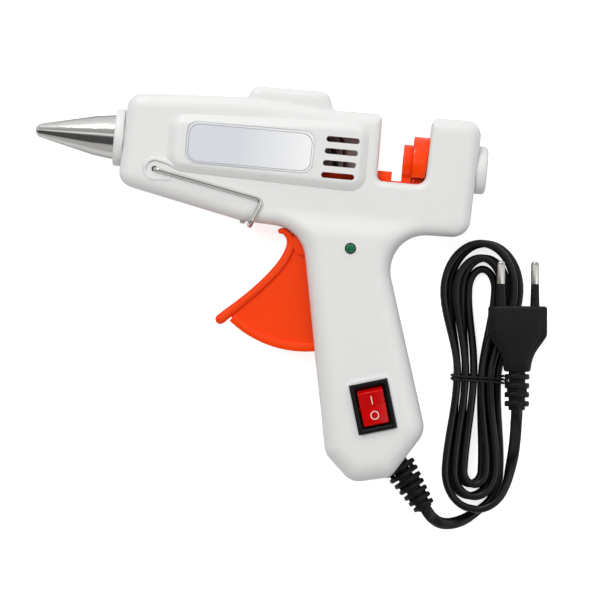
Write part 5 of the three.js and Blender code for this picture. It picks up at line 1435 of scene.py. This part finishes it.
row_sockets = {"Rib": "Object", "Count": "Int", "Pitch": "Float"}
row_sockets.update({"First size": "Float", "Last size": "Float", "Turn": "Float"})
row_tree, given, new = tree_with("rib_row", row_sockets)
spots = new("GeometryNodeMeshLine")
step_way = new("ShaderNodeCombineXYZ")
rib_shape = new("GeometryNodeObjectInfo")
number = new("GeometryNodeInputIndex")
last = new("ShaderNodeMath")
last.operation = "SUBTRACT"
last.inputs[1].default_value = 1
sizes = new("ShaderNodeMapRange")
size = new("ShaderNodeCombineXYZ")
size.inputs["Z"].default_value = 1
angle = new("ShaderNodeMath")
angle.operation = "MULTIPLY"
turn = new("ShaderNodeCombineXYZ")
place = new("GeometryNodeInstanceOnPoints")
linked(
    row_tree,
    (given, "Pitch", step_way, "Z"),
    (given, "Count", spots, "Count"),
    (step_way, "Vector", spots, "Offset"),
    (given, "Rib", rib_shape, "Object"),
    (given, "Count", last, 0),
    (number, "Index", sizes, "Value"),
    (last, "Value", sizes, "From Max"),
    (given, "First size", sizes, "To Min"),
    (given, "Last size", sizes, "To Max"),
    (sizes, "Result", size, "X"),
    (sizes, "Result", size, "Y"),
    (number, "Index", angle, 0),
    (given, "Turn", angle, 1),
    (angle, "Value", turn, "Z"),
    (spots, "Mesh", place, "Points"),
    (rib_shape, "Geometry", place, "Instance"),
    (turn, "Vector", place, "Rotation"),
    (size, "Vector", place, "Scale"),
)
ended(row_tree, given, place, "Instances")


def sleeve(name, solid, start, way, pitch, count, ends, core_line, turned_first=0.0):
    """A ribbed sleeve: the core with its ribs and their bars, as one moulding, in millimetres."""
    rib = unit_rib(pitch * rib_share)
    bridge = unit_bridge(pitch * (1 - rib_share) + 2 * bridge_overlap)
    shared = {"Pitch": pitch * mm, "First size": ends[0], "Last size": ends[1], "Finish": black_rubber}
    ribs = grown(name + "_ribs", row_tree, {**shared, "Rib": rib, "Count": count, "Turn": 0.0})
    bars = grown(name + "_bars", row_tree, {**shared, "Rib": bridge, "Count": count - 1, "Turn": math.pi / 2})
    bars.data.transform(Matrix.Translation((0, 0, (pitch * rib_share - bridge_overlap) * mm)))
    way = way.normalized()
    level = Vector((0, 0, 1)).cross(way).normalized()
    axes = Matrix((level, way.cross(level), way)).transposed().to_4x4()
    for part in (ribs, bars):
        part.data.transform(Matrix.Rotation(turned_first, 4, "Z"))
        part.data.transform(Matrix.Translation(start) @ axes)
    for part in (rib, bridge):
        bpy.data.objects.remove(part)
    core = oriented(loft(name + "_core", rings_about(core_line, way, start / mm, sleeve_sides, level)))
    whole = joined_piece(name, [core, ribs, bars])
    return finish_piece(whole, black_rubber, "black_pvc", solid, corner=45)


relief_start = relief_root + relief_way * relief_from
relief_row = (relief_pitch, relief_ribs, relief_sizes, relief_core_line)
sleeve("cord_relief", "cord_strain_relief", relief_start, relief_way, *relief_row)

# Inner leads: single insulated wires that run down the grip from the heater and the lamp's board
# to the switch and the cord's end.
for colour, shade, roughness, leads in (
    ("black", (0.014, 0.014, 0.015), 0.5, ("neutral_lead",)),
    ("brown", (0.12, 0.04, 0.015), 0.45, ("heater_lead", "supply_lead")),
):
    insulation = surface(colour + "_lead_insulation", shade, roughness, grain=0.2, grain_scale=1700)
    dressed(insulation, *leads)

# Plug: a flat two-pin plug moulded onto the cord in black vinyl. Its shoulders draw in to a ribbed
# tail that lets the cord bend, and two plated pins with insulated roots stand out of its front.
plug_profile = [(0.0, 8.9, 3.3), (0.12, 9.35, 3.72), (0.5, 9.68, 4.06), (1.1, 9.8, 4.2), (9.6, 9.8, 4.2)]
plug_profile += [(10.4, 9.5, 4.2), (12.3, 8.2, 4.2), (14.3, 6.75, 4.2), (15.6, 5.95, 4.2), (17.2, 5.25, 4.16)]
plug_profile += [(19.0, 4.75, 4.12), (21.2, 4.42, 4.06), (21.7, 4.2, 3.8), (21.9, 3.7, 3.3)]
facet = (2.3, 1.7)
plug_deep = 4.2
corner_far, corner_near, corner_pull = 0.5, 0.22, 0.06
tail_ribs = 4
tail_pitch = tail_length / mm / tail_ribs
tail_sizes = (4.15, 4.1)
tail_core = 2.8
tail_end = tail_length / mm
tail_line = [(-0.8, tail_core), (tail_end - 0.4, tail_core), (tail_end - 0.12, tail_core * 0.88)]


def plug_ring(along, half, deep):
    """The plug's section: flat faces with slanted facets at their sides, all corners round."""
    wide = min(facet[0], half * 0.3)
    steep = facet[1] * min(deep / plug_deep, 1)
    corners = [(half, -deep + steep), (half, deep - steep), (half - wide, deep), (-half + wide, deep)]
    corners += [(-x, -y) for x, y in corners]
    ring = []
    for i, (x, y) in enumerate(corners):
        here = Vector((x, y))
        back = (Vector(corners[i - 1]) - here).normalized()
        on = (Vector(corners[(i + 1) % 8]) - here).normalized()
        pull = (back + on) * corner_pull
        ring += [here + back * corner_far, here + back * corner_near + pull]
        ring += [here + on * corner_near + pull, here + on * corner_far]
    return [on_plug(spot.x * mm, plug_length / 2 - along * mm, spot.y * mm) for spot in ring]


plug_black = surface(
    "black_plug_vinyl", (0.006, 0.006, 0.0065), 0.44, grain=0.25, grain_scale=1300, shine=0.25
)
plug_body = loft("plug_moulding", [plug_ring(*station) for station in plug_profile])
finish_piece(plug_body, plug_black, "black_pvc", "plug_body", corner=40)
tail_start = on_plug(0, -plug_length / 2 - tail_pitch * 0.26 * mm, 0)
tail_row = (tail_pitch * 0.98, tail_ribs, tail_sizes, tail_line, math.pi / 2)
tail = sleeve("plug_tail", "plug_body", tail_start, -plug_up, *tail_row)

pin_apart = 5.7 * mm
pin_sides = 40
pin_line = [(-4.9, 1.05), (7.2, 1.05), (7.35, 1.38), (13.7, 1.38), (14.3, 1.28), (14.7, 1.05)]
pin_line += [(14.93, 0.7), (15.0, 0.3)]
sleeve_line = [(-0.2, 1.62), (0.3, 1.58), (4.5, 1.45), (7.1, 1.4), (7.25, 1.34)]
plated_metal = brushed_metal("plated_pin_metal", (0.66, 0.64, 0.60), 0.18, (2500, 60, 2500), lines=0.12)
pin_kinds = [("pin_", pin_line, plated_metal, "plated_pin", "plug_pin_")]
pin_kinds.append(("pin_root_", sleeve_line, plug_black, "black_pvc", "pin_sleeve_"))
for side, word in ((-1, "left"), (1, "right")):
    front = on_plug(side * pin_apart, plug_length / 2, 0) / mm
    for name, stations, finish, slot, solid in pin_kinds:
        rings = rings_about(stations, plug_up, front, pin_sides, plug_across)
        pin = oriented(loft(name + word, rings))
        finish_piece(pin, finish, slot, solid + word, corner=50)

# Hank tie: a thin black coated wire, twice round the hank's waist and twisted at its right end.
tie_half = 8.65 * mm
tie_pitch = 1.17 * mm
tie_low, tie_high = 0.5 * mm, 10.32 * mm
tie_turns = 2
tie_squareness = 0.2
tie_points = 1600
tie_spacing = 0.5 * mm
twist_steps = 16
twist_turns = 1.1
twist_radius = 0.42 * mm
strand_wire = tie_wire * 0.92


def tie_point(turns):
    """Where the wire's middle lies after so many turns round the hank."""
    angle = math.tau * turns
    wide, high = [math.copysign(abs(s) ** tie_squareness, s) for s in (math.cos(angle), math.sin(angle))]
    x, y = spun(wide * tie_half, (turns - tie_turns / 2) * tie_pitch, hank_turn)
    return hank_waist + Vector((x, y, (tie_low + tie_high) / 2 + high * (tie_high - tie_low) / 2))


tie_line = [tie_point(0.0)]
for i in range(tie_points + 1):
    spot = tie_point(tie_turns * i / tie_points)
    if (spot - tie_line[-1]).length > tie_spacing:
        tie_line.append(spot)
tie_knot = tie_point(0.0) + Vector((0.55, 0, 0.2)) * mm
tie_parts = [tube("turns", tie_line, tie_wire, 12)]
for strand in (0, math.pi):
    route = []
    for share in [i / twist_steps for i in range(twist_steps + 1)]:
        spin = strand + share * twist_turns * math.tau
        middle = tie_knot + Vector((0.25 + 0.9 * share, 1.2 - 2.4 * share, 0.5 * share)) * mm
        route.append(middle + Vector((math.cos(spin), 0.25 * math.cos(spin), math.sin(spin))) * twist_radius)
    tie_parts.append(tube("strand", route, strand_wire, 10))
tie = joined_piece("hank_tie_wire", tie_parts)
finish_piece(tie, black_sheath, "black_pvc", "hank_tie", corner=60)

# Housing screws: six plated tapping screws with cross recesses, driven from the right side into
# bosses of the left shell; their heads lie deep in round pockets.
screw_profile = [(0.0, 1.2), (0.02, 1.75), (0.25, 2.1), (0.6, 2.28), (1.0, 2.3), (1.6, 2.3), (1.6, 1.3)]
screw_profile += [(14.6, 1.3), (16.2, 0.3)]
screw_sides = 32
screw_head_high = 1.6
screw_play = 0.05
screw_seed = 4
cross_width = 0.62
cross_reach = 1.35
cross_depth = 1.1
cross_taper = 0.45


def screw_mesh():
    """One screw, its head's top at nought and its shank along +Z, with a cross cut in its head."""
    body = oriented(loft("screw_body", rings_about(screw_profile, (0, 0, 1), Vector(), screw_sides)))
    blades = []
    for wide, deep in ((cross_reach, cross_width / 2), (cross_width / 2, cross_reach)):
        square = [(-wide, -deep), (wide, -deep), (wide, deep), (-wide, deep)]
        narrow = cross_taper if deep > wide else 1
        low = [Vector((x * cross_taper, y * narrow, cross_depth)) * mm for x, y in square]
        high = [Vector((x, y, -0.4)) * mm for x, y in square]
        blades.append(("DIFFERENCE", oriented(loft("blade", [high, low]))))
    return worked(body, blades)


screw_tree, given, new = tree_with("screws_in_pockets", {"Screw": "Object", "Seed": "Int"})
screw_shape = new("GeometryNodeObjectInfo")
chance = new("FunctionNodeRandomValue")
chance.data_type = "FLOAT"
chance_low, chance_high = [socket for socket in chance.inputs if socket.type == "VALUE"][:2]
chance_low.default_value, chance_high.default_value = 0.0, math.pi
drawn = [i for i, socket in enumerate(chance.outputs) if socket.type == "VALUE" and socket.enabled][0]
facing = new("ShaderNodeCombineXYZ")
place = new("GeometryNodeInstanceOnPoints")
linked(
    screw_tree,
    (given, "Screw", screw_shape, "Object"),
    (given, "Seed", chance, "Seed"),
    (chance, drawn, facing, "Z"),
    (facing, "Vector", place, "Rotation"),
    (given, "Geometry", place, "Points"),
    (screw_shape, "Geometry", place, "Instance"),
)
ended(screw_tree, given, place, "Instances")

screw_steel = brushed_metal("plated_screw_steel", (0.42, 0.41, 0.39), 0.3, (1500, 1500, 60))
one_screw = screw_mesh()
screw_spots = []
for x, y in screw_places:
    face = grip_half if y < trigger_pivot[1] else barrel_half
    height = gun_middle - face + screw_sink - screw_head_high + screw_play
    screw_spots.append(Vector((x, y, height)) * mm)
screw_values = {"Screw": one_screw, "Seed": screw_seed, "Finish": screw_steel}
screws = grown("housing_screws", screw_tree, screw_values, mesh_object("housing_screws", screw_spots, []))
bpy.data.objects.remove(one_screw)
finish_piece(screws, screw_steel, "spring_steel", *[f"housing_screw_{i}" for i in range(1, 7)])
